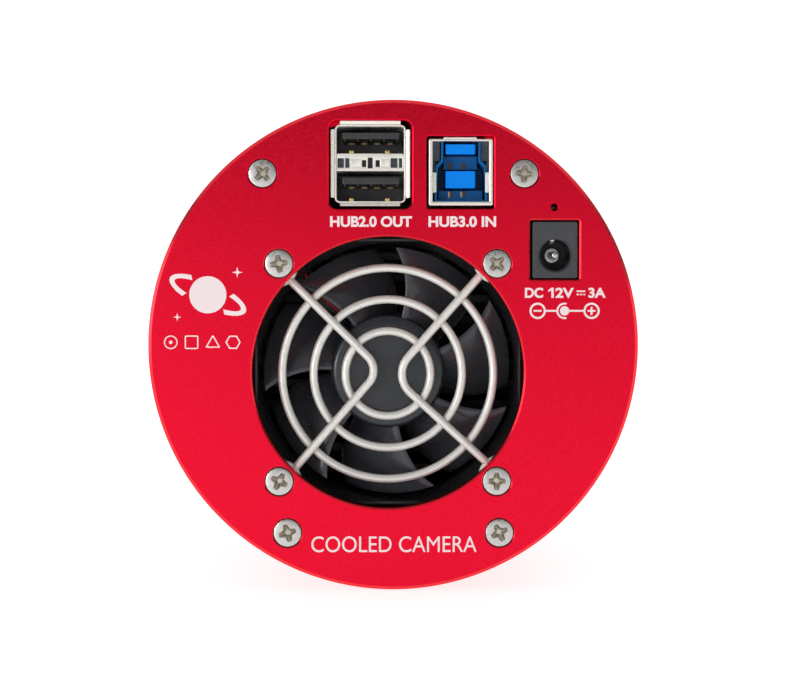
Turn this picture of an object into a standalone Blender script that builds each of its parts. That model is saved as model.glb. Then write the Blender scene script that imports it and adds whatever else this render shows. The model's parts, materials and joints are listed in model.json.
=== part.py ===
"""Cooled astronomy camera: a round 90 mm body with a fan-cooled rear and a tilting front plate.

Frame: the origin is the centre of the tilt plate's front face, on the optical axis.
+Y points forward to the telescope, +Z is up (the connectors are at the top of the rear face),
and +X is to the right for somebody who looks at the rear face. All values are in metres.
Cross sections are given as (x, z) points, and turned parts as (radius, y) outlines.
"""
import math

import bmesh
import bpy
from mathutils import Matrix, Vector

MM = 0.001
GAP = 0.3 * MM

# Body
BODY_RADIUS = 45.0 * MM
BODY_LENGTH = 98.5 * MM
REAR_FACE = -BODY_LENGTH
COVER_THICKNESS = 3.0 * MM
COVER_CHAMFER = 0.65 * MM
COVER_FRONT = REAR_FACE + COVER_THICKNESS
TUBE_REAR = COVER_FRONT + GAP
TUBE_FRONT = -36.3 * MM
TUBE_BORE = 41.8 * MM
CHAMBER_BORE = 41.5 * MM
CHAMBER_REAR = TUBE_FRONT + GAP
ROUND_STEPS = 48

# Tilt plate and front seal
TILT_THICKNESS = 5.0 * MM
TILT_RADIUS = 43.5 * MM
THROAT_RADIUS = 26.6 * MM
TILT_GAP = 1.2 * MM
CHAMBER_FRONT = -(TILT_THICKNESS + TILT_GAP)
TILT_SCREW_CIRCLE = 36.5 * MM
PULL_SCREW_ANGLES = (90.0, 210.0, 330.0)
PUSH_SCREW_OFFSET = 14.0

# Rear fan
FAN_X = -1.0 * MM
FAN_Z = -5.0 * MM
FAN_SIZE = 50.0 * MM
FAN_DEPTH = 15.0 * MM
FAN_REAR = -93.4 * MM
FAN_FRONT = FAN_REAR + FAN_DEPTH
FAN_BORE = 24.1 * MM
FAN_OPENING = 25.0 * MM
FAN_HOLE_PITCH = 40.0 * MM
HUB_RADIUS = 10.6 * MM
HUB_REAR = -91.9 * MM
HUB_FRONT = -81.0 * MM
BLADE_TIP = 23.2 * MM
BLADE_COUNT = 7

LEAD_X = FAN_X - 15.5 * MM
LEAD_Y = -80.9 * MM

# Finger guard
WIRE_RADIUS = 0.725 * MM
GUARD_RING_RADII = (7.8 * MM, 13.65 * MM, 19.45 * MM)
GUARD_LEG_Y = COVER_FRONT + GAP + WIRE_RADIUS
GUARD_RING_Y = GUARD_LEG_Y + 1.3 * MM
EYELET_RADIUS = 2.9 * MM

# Screws
HEAD_RADIUS = 2.7 * MM
HEAD_HEIGHT = 1.45 * MM
SHANK_RADIUS = 1.5 * MM
CLEARANCE_RADIUS = 1.8 * MM
COVER_SCREWS = ((-24.0, 31.5), (24.0, 31.5), (-19.5, -34.5), (19.5, -34.5))
COVER_SCREW_TURNS = (42.0, -5.0, 17.0, 26.0)
FAN_SCREW_TURNS = (9.0, 45.0, 63.0, 0.0)
HOUSING_SCREW_CIRCLE = 39.3 * MM
HOUSING_SCREW_ANGLES = (60.0, 180.0, 300.0)

# Circuit board and connectors, as (low x, high x, low z, high z)
BOARD_LOW_Z = 23.1 * MM
BOARD_HIGH_Z = 24.7 * MM
USB_A_OPENING = (-11.9 * MM, 3.5 * MM, 24.95 * MM, 41.25 * MM)
USB_A_SHELL = (-11.1 * MM, 2.8 * MM, 25.7 * MM, 40.9 * MM)
USB_A_SOCKETS = ((-10.5 * MM, 2.0 * MM, 35.2 * MM, 40.3 * MM), (-10.5 * MM, 2.0 * MM, 26.4 * MM, 31.9 * MM))
USB_A_TONGUES = ((-9.4 * MM, 1.1 * MM, 37.9 * MM, 39.1 * MM), (-9.4 * MM, 1.1 * MM, 29.6 * MM, 30.9 * MM))
USB_B_OPENING = (6.0 * MM, 18.6 * MM, 25.0 * MM, 38.45 * MM)
USB_B_SHELL = (6.4 * MM, 18.2 * MM, 25.7 * MM, 37.9 * MM)
DC_OPENING = (25.0 * MM, 34.15 * MM, 12.0 * MM, 23.05 * MM)
DC_BODY = (25.5 * MM, 33.8 * MM, 12.35 * MM, 22.7 * MM)
DC_HOLE = (29.75 * MM, 16.6 * MM)
DC_HOLE_RADIUS = 3.15 * MM
LED_HOLE = (29.5 * MM, 25.35 * MM)
USB_RECESS_FRONT = -79.7 * MM

# Sensor chamber
SENSOR_PLANE = -17.5 * MM
WINDOW_RADIUS = 26.0 * MM
DESICCANT_ANGLE = 135.0
DESICCANT_Y = -22.5 * MM

# Colours: base colour, metallic, roughness
FINISHES = {
    "red_anodised": ((0.72, 0.01, 0.03), 0.6, 0.42),
    "black_anodised": ((0.02, 0.02, 0.022), 0.5, 0.45),
    "bright_screw": ((0.75, 0.76, 0.78), 1.0, 0.3),
    "dark_screw": ((0.06, 0.06, 0.065), 1.0, 0.35),
    "nickel_wire": ((0.8, 0.78, 0.75), 1.0, 0.2),
    "black_plastic": ((0.03, 0.03, 0.033), 0.0, 0.4),
    "connector_steel": ((0.72, 0.7, 0.66), 1.0, 0.3),
    "blue_plastic": ((0.01, 0.2, 0.7), 0.0, 0.4),
    "green_board": ((0.01, 0.12, 0.05), 0.0, 0.45),
    "bare_aluminium": ((0.7, 0.7, 0.72), 1.0, 0.4),
    "ceramic": ((0.75, 0.75, 0.72), 0.0, 0.5),
    "sensor_die": ((0.08, 0.09, 0.12), 0.3, 0.2),
    "clear_glass": ((0.85, 0.95, 0.95), 0.0, 0.05),
    "black_rubber": ((0.02, 0.02, 0.02), 0.0, 0.7),
    "amber_film": ((0.55, 0.25, 0.05), 0.0, 0.4),
    "bronze": ((0.55, 0.35, 0.15), 1.0, 0.4),
    "copper": ((0.75, 0.35, 0.2), 1.0, 0.35),
    "led": ((0.8, 0.9, 0.8), 0.0, 0.3),
    "foam": ((0.1, 0.1, 0.1), 0.0, 0.9),
    "lead_jacket": ((0.4, 0.02, 0.02), 0.0, 0.5),
}


def material(finish):
    """The finish's material, made once."""
    found = bpy.data.materials.get(finish)
    if found:
        return found
    colour, metallic, roughness = FINISHES[finish]
    made = bpy.data.materials.new(finish)
    made.use_nodes = True
    shader = made.node_tree.nodes["Principled BSDF"]
    shader.inputs["Base Color"].default_value = (*colour, 1.0)
    shader.inputs["Metallic"].default_value = metallic
    shader.inputs["Roughness"].default_value = roughness
    return made


def node(name, mesh_builder, finish):
    """An object made of a bmesh, with outward faces, smooth round sides and its finish."""
    bmesh.ops.recalc_face_normals(mesh_builder, faces=mesh_builder.faces)
    mesh = bpy.data.meshes.new(name)
    mesh_builder.to_mesh(mesh)
    mesh_builder.free()
    mesh.shade_smooth()
    mesh.set_sharp_from_angle(angle=math.radians(35))
    made = bpy.data.objects.new(name, mesh)
    bpy.context.collection.objects.link(made)
    if finish:
        made.data.materials.append(material(finish))
    return made


def cutter(name, mesh_builder):
    """A guide that cuts or joins another object and isn't part of the camera itself."""
    made = node(name, mesh_builder, None)
    made.hide_render = True
    made.display_type = "WIRE"
    return made


def combine(target, tool, operation="DIFFERENCE"):
    """Cut the tool out of the target, or join or intersect the two."""
    modifier = target.modifiers.new(tool.name, "BOOLEAN")
    modifier.operation = operation
    modifier.solver = "EXACT"
    modifier.object = tool


def add_prism(builder, outline, low_y, high_y):
    """An (x, z) outline extruded along y."""
    low = [builder.verts.new((x, low_y, z)) for x, z in outline]
    high = [builder.verts.new((x, high_y, z)) for x, z in outline]
    builder.faces.new(low)
    builder.faces.new(list(reversed(high)))
    for first in range(len(outline)):
        second = (first + 1) % len(outline)
        builder.faces.new((low[first], high[first], high[second], low[second]))


def prism(outline, low_y, high_y):
    builder = bmesh.new()
    add_prism(builder, outline, low_y, high_y)
    return builder


def add_turned(builder, outline, centre=(0.0, 0.0), steps=ROUND_STEPS):
    """A closed (radius, y) outline turned about an axis along y through the centre."""
    rings = []
    for radius, y in outline:
        if radius < 1e-7:
            rings.append([builder.verts.new((centre[0], y, centre[1]))] * steps)
            continue
        ring = []
        for step in range(steps):
            angle = 2.0 * math.pi * step / steps
            x = centre[0] + radius * math.cos(angle)
            z = centre[1] + radius * math.sin(angle)
            ring.append(builder.verts.new((x, y, z)))
        rings.append(ring)
    for first in range(len(rings)):
        near, far = rings[first], rings[(first + 1) % len(rings)]
        for step in range(steps):
            after = (step + 1) % steps
            corners = []
            for corner in (near[step], near[after], far[after], far[step]):
                if corner not in corners:
                    corners.append(corner)
            if len(corners) > 2:
                builder.faces.new(corners)


def turned(outline, centre=(0.0, 0.0), steps=ROUND_STEPS):
    builder = bmesh.new()
    add_turned(builder, outline, centre, steps)
    return builder


def disc(radius, low_y, high_y):
    """The (radius, y) outline of a plain disc."""
    return [(0.0, low_y), (radius, low_y), (radius, high_y), (0.0, high_y)]


def ring(inner, outer, low_y, high_y):
    """The (radius, y) outline of a flat ring."""
    return [(inner, low_y), (outer, low_y), (outer, high_y), (inner, high_y)]


def round_ring(radius, section, y, steps=6):
    """The (radius, y) outline of a ring with a round section."""
    points = []
    for step in range(steps):
        angle = 2.0 * math.pi * step / steps
        points.append((radius + section * math.cos(angle), y + section * math.sin(angle)))
    return points


def rectangle(low_x, high_x, low_z, high_z):
    return [(low_x, low_z), (high_x, low_z), (high_x, high_z), (low_x, high_z)]


def rounded_rectangle(low_x, high_x, low_z, high_z, radius, steps=4):
    points = []
    corners = ((high_x, low_z, -90.0), (high_x, high_z, 0.0), (low_x, high_z, 90.0), (low_x, low_z, 180.0))
    for x, z, start in corners:
        inner_x = x - math.copysign(radius, x - 0.5 * (low_x + high_x))
        inner_z = z - math.copysign(radius, z - 0.5 * (low_z + high_z))
        for step in range(steps + 1):
            angle = math.radians(start + 90.0 * step / steps)
            points.append((inner_x + radius * math.cos(angle), inner_z + radius * math.sin(angle)))
    return points


def inset(bounds, amount):
    """A (low x, high x, low z, high z) rectangle made smaller by an amount on every side."""
    return (bounds[0] + amount, bounds[1] - amount, bounds[2] + amount, bounds[3] - amount)


def polar(radius, degrees):
    """The (x, z) point at a radius and an angle from +x towards +z."""
    return (radius * math.cos(math.radians(degrees)), radius * math.sin(math.radians(degrees)))


def add_tube(builder, path, radius, y, sides=6, closed=False):
    """A wire of round section that follows an (x, z) path at one y."""
    count = len(path)
    rings = []
    for index in range(count):
        before = Vector(path[index - 1 if closed or index else 0])
        after = Vector(path[(index + 1) % count if closed or index < count - 1 else index])
        along = (after - before).normalized()
        here = Vector(path[index])
        side = Vector((-along.y, along.x))
        section = []
        for step in range(sides):
            angle = 2.0 * math.pi * (step + 0.5) / sides
            flat = here + side * (radius * math.cos(angle))
            section.append(builder.verts.new((flat.x, y + radius * math.sin(angle), flat.y)))
        rings.append(section)
    for index in range(count if closed else count - 1):
        near, far = rings[index], rings[(index + 1) % count]
        for step in range(sides):
            after = (step + 1) % sides
            builder.faces.new((near[step], near[after], far[after], far[step]))
    if not closed:
        builder.faces.new(rings[0])
        builder.faces.new(rings[-1])


def circle_path(radius, centre, steps):
    points = [polar(radius, 360.0 * step / steps) for step in range(steps)]
    return [(centre[0] + x, centre[1] + z) for x, z in points]


def fan_corners():
    """The fan's four screw places: upper left, upper right, lower left, lower right."""
    half = 0.5 * FAN_HOLE_PITCH
    return [(FAN_X + side * half, FAN_Z + level * half) for level in (1, -1) for side in (-1, 1)]


def cover_screw_points():
    return [(x * MM, z * MM) for x, z in COVER_SCREWS]


# --- Screws ---------------------------------------------------------------------------------

def flat_head_screw(name, place, turn, length):
    """A countersunk screw with a cross recess, whose head lies 0.1 mm under the rear face."""
    top = REAR_FACE + 0.1 * MM
    rim = top + 0.25 * MM
    outline = [(0.0, top), (HEAD_RADIUS, top), (HEAD_RADIUS, rim), (SHANK_RADIUS, top + HEAD_HEIGHT),
               (SHANK_RADIUS, top + length), (0.0, top + length)]
    screw = node(name, turned(outline, place, 16), "bright_screw")
    half_long, half_wide, depth = 1.6 * MM, 0.38 * MM, 1.1 * MM
    cross = [(half_wide, half_wide), (half_long, half_wide), (half_long, -half_wide), (half_wide, -half_wide)]
    outline = []
    for quarter in range(4):
        spin = Matrix.Rotation(math.radians(turn - 90.0 * quarter), 2)
        for point in cross[:3]:
            flat = spin @ Vector(point)
            outline.append((place[0] + flat.x, place[1] + flat.y))
    recess = cutter(name + "_recess", prism(outline, top - depth, top + depth))
    combine(screw, recess)


def socket_screw(name, place, head, head_radius, shank_radius, tip, hex_radius, finish):
    """A cap or set screw along y with a hexagon recess; head is the (start, end) of its head."""
    start, end = head
    outline = [(0.0, start), (head_radius, start), (head_radius, end), (shank_radius, end),
               (shank_radius, tip), (0.0, tip)]
    if head_radius == shank_radius:
        outline = disc(shank_radius, start, tip)
    screw = node(name, turned(outline, place, 12), finish)
    depth = 1.2 * MM
    hexagon = [(place[0] + x, place[1] + z) for x, z in (polar(hex_radius, 60.0 * k) for k in range(6))]
    recess = cutter(name + "_recess", prism(hexagon, start - depth, start + depth))
    combine(screw, recess)


def screws():
    for index, (place, turn) in enumerate(zip(cover_screw_points(), COVER_SCREW_TURNS), 1):
        flat_head_screw("cover_screw_%d" % index, place, turn, 10.0 * MM)
    for index, (place, turn) in enumerate(zip(fan_corners(), FAN_SCREW_TURNS), 1):
        flat_head_screw("fan_screw_%d" % index, place, turn, 14.0 * MM)
    for index, angle in enumerate(HOUSING_SCREW_ANGLES, 1):
        place = polar(HOUSING_SCREW_CIRCLE, angle)
        head = (-44.6 * MM, -42.4 * MM)
        socket_screw("housing_screw_%d" % index, place, head, 2.2 * MM, 1.1 * MM, -31.5 * MM, 1.1 * MM,
                     "dark_screw")
    for index, angle in enumerate(PULL_SCREW_ANGLES, 1):
        place = polar(TILT_SCREW_CIRCLE, angle)
        head = (-0.5 * MM, -2.7 * MM)
        socket_screw("pull_screw_%d" % index, place, head, 2.75 * MM, SHANK_RADIUS, -11.8 * MM, 1.4 * MM,
                     "dark_screw")
        place = polar(TILT_SCREW_CIRCLE, angle + PUSH_SCREW_OFFSET)
        head = (-0.6 * MM, -1.0 * MM)
        socket_screw("push_screw_%d" % index, place, head, SHANK_RADIUS, SHANK_RADIUS, -5.55 * MM, 0.9 * MM,
                     "dark_screw")


# --- Rear cover -----------------------------------------------------------------------------

def rear_cover():
    outline = [(0.0, REAR_FACE), (BODY_RADIUS - COVER_CHAMFER, REAR_FACE),
               (BODY_RADIUS, REAR_FACE + COVER_CHAMFER), (BODY_RADIUS, COVER_FRONT), (0.0, COVER_FRONT)]
    cover = node("rear_cover", turned(outline, steps=ROUND_STEPS), "red_anodised")
    past = 1.0 * MM
    builder = bmesh.new()
    add_turned(builder, disc(FAN_OPENING, REAR_FACE - past, COVER_FRONT + past), (FAN_X, FAN_Z), ROUND_STEPS)
    for opening, radius in ((USB_A_OPENING, 1.4 * MM), (USB_B_OPENING, 0.4 * MM), (DC_OPENING, 0.3 * MM)):
        add_prism(builder, rounded_rectangle(*opening, radius), REAR_FACE - past, COVER_FRONT + past)
    add_turned(builder, disc(0.7 * MM, REAR_FACE - past, COVER_FRONT + past), LED_HOLE, 12)
    hole_mouth = HEAD_RADIUS + 0.2 * MM
    for place in cover_screw_points() + fan_corners():
        profile = [(0.0, REAR_FACE - past), (hole_mouth, REAR_FACE - past), (hole_mouth, REAR_FACE + 0.4 * MM),
                   (CLEARANCE_RADIUS, REAR_FACE + 1.5 * MM), (CLEARANCE_RADIUS, COVER_FRONT + past),
                   (0.0, COVER_FRONT + past)]
        add_turned(builder, profile, place, 16)
    combine(cover, cutter("cover_openings", builder))


# --- Finger guard ---------------------------------------------------------------------------

def guard_leg_path(side):
    """One bent wire: a rounded bend near the middle and two straight legs to the eyelets."""
    bend_x, bend_radius = 2.55 * MM, 3.2 * MM
    arc_centre = bend_x + bend_radius
    steps = 5
    arc = [polar(bend_radius, 135.0 + 90.0 * step / steps) for step in range(steps + 1)]
    arc = [(arc_centre + x, z) for x, z in arc]
    reach = 0.5 * FAN_HOLE_PITCH - EYELET_RADIUS * math.cos(math.radians(45.0))
    path = [(reach, reach - 0.4 * MM)] + arc + [(reach, -reach + 0.4 * MM)]
    return [(FAN_X + side * x, FAN_Z + z) for x, z in path]


def fan_guard():
    centre = (FAN_X, FAN_Z)
    builder = bmesh.new()
    for side in (-1.0, 1.0):
        add_tube(builder, guard_leg_path(side), WIRE_RADIUS, GUARD_LEG_Y)
    legs = node("fan_grille", builder, "nickel_wire")
    for number, radius in enumerate(GUARD_RING_RADII, 1):
        builder = bmesh.new()
        add_tube(builder, circle_path(radius, centre, 18 + 6 * number), WIRE_RADIUS, GUARD_RING_Y, closed=True)
        combine(legs, cutter("guard_ring_%d" % number, builder), "UNION")
    builder = bmesh.new()
    for place in fan_corners():
        add_tube(builder, circle_path(EYELET_RADIUS, place, 12), WIRE_RADIUS * 0.98, GUARD_LEG_Y, closed=True)
    combine(legs, cutter("guard_eyelets", builder), "UNION")


# --- Fan ------------------------------------------------------------------------------------

def fan_frame():
    centre = (FAN_X, FAN_Z)
    half = 0.5 * FAN_SIZE
    square = rounded_rectangle(FAN_X - half, FAN_X + half, FAN_Z - half, FAN_Z + half, 3.0 * MM, 3)
    frame = node("fan_frame", prism(square, FAN_REAR, FAN_FRONT), "black_plastic")
    past = 1.0 * MM
    builder = bmesh.new()
    add_turned(builder, disc(FAN_BORE, FAN_REAR - past, FAN_FRONT + past), centre, 48)
    for place in fan_corners():
        add_turned(builder, disc(2.15 * MM, FAN_REAR - past, FAN_FRONT + past), place, 12)
    combine(frame, cutter("fan_bore", builder))
    motor_rear = FAN_FRONT - 1.8 * MM
    tube_rear = -89.5 * MM
    mount = [(3.3 * MM, tube_rear), (4.0 * MM, tube_rear), (4.0 * MM, motor_rear), (11.2 * MM, motor_rear),
             (11.2 * MM, FAN_FRONT), (3.3 * MM, FAN_FRONT)]
    combine(frame, cutter("fan_motor_mount", turned(mount, centre, 32)), "UNION")
    builder = bmesh.new()
    strut_half = 1.1 * MM
    for quarter in range(4):
        spin = Matrix.Rotation(math.radians(45.0 + 90.0 * quarter), 2)
        corners = rectangle(10.0 * MM, 25.5 * MM, -strut_half, strut_half)
        turned_corners = [spin @ Vector(point) for point in corners]
        outline = [(FAN_X + point.x, FAN_Z + point.y) for point in turned_corners]
        add_prism(builder, outline, motor_rear + 0.1 * MM, FAN_FRONT - 0.1 * MM)
    combine(frame, cutter("fan_struts", builder), "UNION")
    lead_low, lead_high = LEAD_X - 1.2 * MM, LEAD_X + 1.2 * MM
    notch = prism(rectangle(lead_low, lead_high, FAN_Z + 16.5 * MM, FAN_Z + 26.0 * MM), LEAD_Y - 1.1 * MM,
                  FAN_FRONT + past)
    combine(frame, cutter("lead_notch", notch))


def fan_lead():
    """The fan's short lead: out from the motor beside a strut, then up to the main board."""
    builder = bmesh.new()
    path = [(FAN_X - 8.1 * MM, FAN_Z + 10.6 * MM), (LEAD_X + 0.7 * MM, FAN_Z + 17.3 * MM),
            (LEAD_X, FAN_Z + 19.0 * MM), (LEAD_X, BOARD_LOW_Z - GAP)]
    add_tube(builder, path, 0.6 * MM, LEAD_Y, sides=8)
    node("fan_lead", builder, "lead_jacket")


def blade_point(radius, share):
    """The middle of a blade at a radius and a share of its chord, from the rear edge forwards."""
    reach = max(0.0, (radius - HUB_RADIUS) / (BLADE_TIP - HUB_RADIUS))
    edge = 75.5 + 10.8 * reach ** 1.8
    chord = 47.0 - 5.0 * reach
    degrees = edge - chord * share
    depth = HUB_REAR + 0.7 * MM + (8.6 * MM) * share ** 0.85
    x, z = polar(radius, degrees)
    return Vector((x, depth, z))


def add_blade(builder, number):
    radial_steps, chord_steps = 4, 4
    half = 0.45 * MM
    spin = Matrix.Rotation(math.radians(-360.0 * number / BLADE_COUNT), 3, "Y")
    shift = Vector((FAN_X, 0.0, FAN_Z))
    grids = []
    for face in (-1.0, 1.0):
        grid = []
        for row in range(radial_steps + 1):
            radius = HUB_RADIUS - 0.4 * MM + (BLADE_TIP - HUB_RADIUS + 0.4 * MM) * row / radial_steps
            line = []
            for column in range(chord_steps + 1):
                share = column / chord_steps
                middle = blade_point(radius, share)
                along = blade_point(radius, share + 0.02) - blade_point(radius, share)
                outward = Vector((middle.x, 0.0, middle.z)).normalized()
                normal = along.cross(outward).normalized()
                thickness = half * (0.6 + 0.8 * share * (1.0 - share))
                point = spin @ (middle + normal * thickness * face)
                line.append(builder.verts.new(point + shift))
            grid.append(line)
        grids.append(grid)
    low, high = grids
    for row in range(radial_steps):
        for column in range(chord_steps):
            for grid in grids:
                builder.faces.new((grid[row][column], grid[row][column + 1],
                                   grid[row + 1][column + 1], grid[row + 1][column]))
    border = [(0, column) for column in range(chord_steps)]
    border += [(row, chord_steps) for row in range(radial_steps)]
    border += [(radial_steps, column) for column in range(chord_steps, 0, -1)]
    border += [(row, 0) for row in range(radial_steps, 0, -1)]
    for index, (row, column) in enumerate(border):
        next_row, next_column = border[(index + 1) % len(border)]
        builder.faces.new((low[row][column], low[next_row][next_column],
                           high[next_row][next_column], high[row][column]))


def fan_motor():
    """The rotor with its shaft and magnets, and the bearing and coils that stay with the frame."""
    centre = (FAN_X, FAN_Z)
    edge = 0.5 * MM
    hub = [(0.0, HUB_REAR), (HUB_RADIUS - edge, HUB_REAR), (HUB_RADIUS, HUB_REAR + edge),
           (HUB_RADIUS, HUB_FRONT), (9.6 * MM, HUB_FRONT), (9.6 * MM, HUB_REAR + 1.2 * MM),
           (0.0, HUB_REAR + 1.2 * MM)]
    rotor = node("fan_rotor", turned(hub, centre, 36), "black_plastic")
    builder = bmesh.new()
    for number in range(BLADE_COUNT):
        add_blade(builder, number)
    combine(rotor, cutter("fan_blades", builder), "UNION")
    hub_floor = HUB_REAR + 1.2 * MM
    parts = (
        ("fan_shaft", disc(1.5 * MM, hub_floor + GAP, FAN_FRONT - 0.6 * MM), 16, "bright_screw"),
        ("fan_bearing", ring(1.8 * MM, 3.0 * MM, -89.8 * MM, FAN_FRONT - 0.3 * MM), 20, "bronze"),
        ("fan_magnet_ring", ring(8.5 * MM, 9.3 * MM, hub_floor + GAP, -82.0 * MM), 36, "black_rubber"),
    )
    for name, outline, steps, finish in parts:
        node(name, turned(outline, centre, steps), finish)
    stator = node("fan_stator", turned(ring(4.3 * MM, 8.0 * MM, -89.0 * MM, -81.4 * MM), centre, 32), "copper")
    builder = bmesh.new()
    for quarter in range(4):
        spin = Matrix.Rotation(math.radians(90.0 * quarter), 2)
        corners = [spin @ Vector(point) for point in rectangle(5.8 * MM, 9.0 * MM, -0.7 * MM, 0.7 * MM)]
        outline = [(FAN_X + point.x, FAN_Z + point.y) for point in corners]
        add_prism(builder, outline, -90.0 * MM, -80.4 * MM)
    combine(stator, cutter("stator_slots", builder))


# --- Connectors and circuit board -----------------------------------------------------------

def stacked_usb():
    front, back = REAR_FACE + 0.3 * MM, -80.5 * MM
    shell = node("usb_a_shell", prism(rounded_rectangle(*USB_A_SHELL, 0.6 * MM, 2), front, back), "connector_steel")
    builder = bmesh.new()
    for socket in USB_A_SOCKETS:
        add_prism(builder, rounded_rectangle(*socket, 0.4 * MM, 2), front - 1.0 * MM, back - 1.6 * MM)
    combine(shell, cutter("usb_a_sockets", builder))
    for name, bounds in zip(("usb_a_tongue_upper", "usb_a_tongue_lower"), USB_A_TONGUES):
        tongue = rectangle(*bounds)
        node(name, prism(tongue, front + 1.6 * MM, back - 1.6 * MM - GAP), "black_plastic")


def bottle_outline(bounds, shoulder_width, shoulder_low, shoulder_high):
    """A square-shouldered outline: wide below, narrow above."""
    low_x, high_x, low_z, high_z = bounds
    return [(low_x, low_z), (high_x, low_z), (high_x, shoulder_low), (high_x - shoulder_width, shoulder_high),
            (high_x - shoulder_width, high_z), (low_x + shoulder_width, high_z),
            (low_x + shoulder_width, shoulder_high), (low_x, shoulder_low)]


def square_usb():
    front, back = REAR_FACE + 0.3 * MM, -80.5 * MM
    pocket_back = back - 1.6 * MM
    shell = node("usb_b_shell", prism(rounded_rectangle(*USB_B_SHELL, 0.4 * MM, 2), front, back), "connector_steel")
    pocket = prism(rectangle(*inset(USB_B_SHELL, 0.6 * MM)), front - 1.0 * MM, pocket_back)
    combine(shell, cutter("usb_b_pocket", pocket))
    body = inset(USB_B_SHELL, 0.95 * MM)
    shoulder = (33.0 * MM, 34.1 * MM)
    block_front, block_back = front + 1.2 * MM, pocket_back - GAP
    insulator = node("usb_b_insulator", prism(bottle_outline(body, 1.3 * MM, *shoulder), block_front, block_back),
                     "blue_plastic")
    cavity = bottle_outline(inset(body, 0.55 * MM), 1.3 * MM, 32.8 * MM, 33.9 * MM)
    combine(insulator, cutter("usb_b_cavity", prism(cavity, block_front - 1.0 * MM, block_front + 8.5 * MM)))
    builder = bmesh.new()
    tongue_back = block_front + 9.0 * MM
    add_prism(builder, rectangle(9.6 * MM, 15.0 * MM, 28.9 * MM, 32.0 * MM), block_front + 0.5 * MM, tongue_back)
    add_prism(builder, rectangle(9.6 * MM, 15.0 * MM, 35.2 * MM, 36.0 * MM), block_front + 0.3 * MM, tongue_back)
    combine(insulator, cutter("usb_b_tongues", builder), "UNION")


def power_jack():
    front, back = REAR_FACE + 0.3 * MM, -84.5 * MM
    floor = front + 9.5 * MM
    jack = node("dc_jack_body", prism(rounded_rectangle(*DC_BODY, 0.4 * MM, 2), front, back), "black_plastic")
    bore = turned(disc(DC_HOLE_RADIUS, front - 1.0 * MM, floor), DC_HOLE, 28)
    combine(jack, cutter("dc_bore", bore))
    tip = front + 1.2 * MM
    pin = [(0.0, tip), (0.45 * MM, tip), (0.65 * MM, tip + 0.25 * MM), (0.65 * MM, floor - 2.2 * MM),
           (1.3 * MM, floor - 2.0 * MM), (1.3 * MM, floor - GAP), (0.0, floor - GAP)]
    node("dc_jack_pin", turned(pin, DC_HOLE, 16), "bright_screw")
    spring_top = DC_HOLE[1] + DC_HOLE_RADIUS - 0.45 * MM
    spring = rectangle(DC_HOLE[0] - 0.9 * MM, DC_HOLE[0] - 0.2 * MM, spring_top - 0.35 * MM, spring_top)
    node("dc_jack_spring", prism(spring, front + 0.8 * MM, floor - GAP), "connector_steel")


def electronics():
    board_front, board_rear = -48.0 * MM, -94.8 * MM
    board = rectangle(-30.0 * MM, 32.6 * MM, BOARD_LOW_Z, BOARD_HIGH_Z)
    node("main_board", prism(board, board_rear, board_front), "green_board")
    top = BOARD_HIGH_Z + GAP
    chip = rectangle(-8.0 * MM, 9.0 * MM, top, top + 1.8 * MM)
    node("processor_chip", prism(chip, -74.0 * MM, -57.0 * MM), "black_plastic")
    low_x = LED_HOLE[0] - 0.8 * MM
    node("indicator_led", prism(rectangle(low_x, low_x + 1.6 * MM, top, top + 0.7 * MM), -94.6 * MM, -93.8 * MM),
         "led")


# --- Housings -------------------------------------------------------------------------------

def front_housing():
    """The sensor chamber: a red cup with the window seat in front and a sealing flange behind."""
    flange_front = -31.0 * MM
    groove = CHAMBER_REAR + 1.4 * MM
    outline = [
        (23.6 * MM, -13.5 * MM), (CHAMBER_BORE, -13.5 * MM), (CHAMBER_BORE, flange_front),
        (34.5 * MM, flange_front), (34.5 * MM, CHAMBER_REAR), (35.2 * MM, CHAMBER_REAR), (35.2 * MM, groove),
        (36.9 * MM, groove), (36.9 * MM, CHAMBER_REAR), (BODY_RADIUS - 0.3 * MM, CHAMBER_REAR),
        (BODY_RADIUS, CHAMBER_REAR + 0.3 * MM), (BODY_RADIUS, CHAMBER_FRONT - 1.0 * MM),
        (BODY_RADIUS - 1.0 * MM, CHAMBER_FRONT), (30.4 * MM, CHAMBER_FRONT), (30.4 * MM, -8.1 * MM),
        (WINDOW_RADIUS + GAP, -8.1 * MM), (WINDOW_RADIUS + GAP, -11.5 * MM), (23.6 * MM, -11.5 * MM),
    ]
    housing = node("front_housing", turned(outline, steps=ROUND_STEPS), "red_anodised")
    builder = bmesh.new()
    for angle in PULL_SCREW_ANGLES:
        add_turned(builder, disc(CLEARANCE_RADIUS, -12.2 * MM, CHAMBER_FRONT + 1.0 * MM),
                   polar(TILT_SCREW_CIRCLE, angle), 14)
    for angle in HOUSING_SCREW_ANGLES:
        add_turned(builder, disc(1.4 * MM, CHAMBER_REAR - 1.0 * MM, flange_front + 1.0 * MM),
                   polar(HOUSING_SCREW_CIRCLE, angle), 14)
    combine(housing, cutter("front_housing_holes", builder))
    combine(housing, cutter("desiccant_hole", desiccant_shape(
        [(0.0, 38.0), (4.8, 38.0), (4.8, 42.2), (6.2, 42.2), (6.2, 46.0), (0.0, 46.0)])))
    plug = node("desiccant_plug", desiccant_shape(
        [(0.0, 39.5), (4.5, 39.5), (4.5, 43.2), (5.9, 43.2), (5.9, 44.4), (0.0, 44.4)]), "black_anodised")
    slot = prism(rectangle(-0.6 * MM, 0.6 * MM, -3.2 * MM, 3.2 * MM), 43.4 * MM, 45.4 * MM)
    combine(plug, cutter("desiccant_slot", place_radially(slot)))


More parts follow.
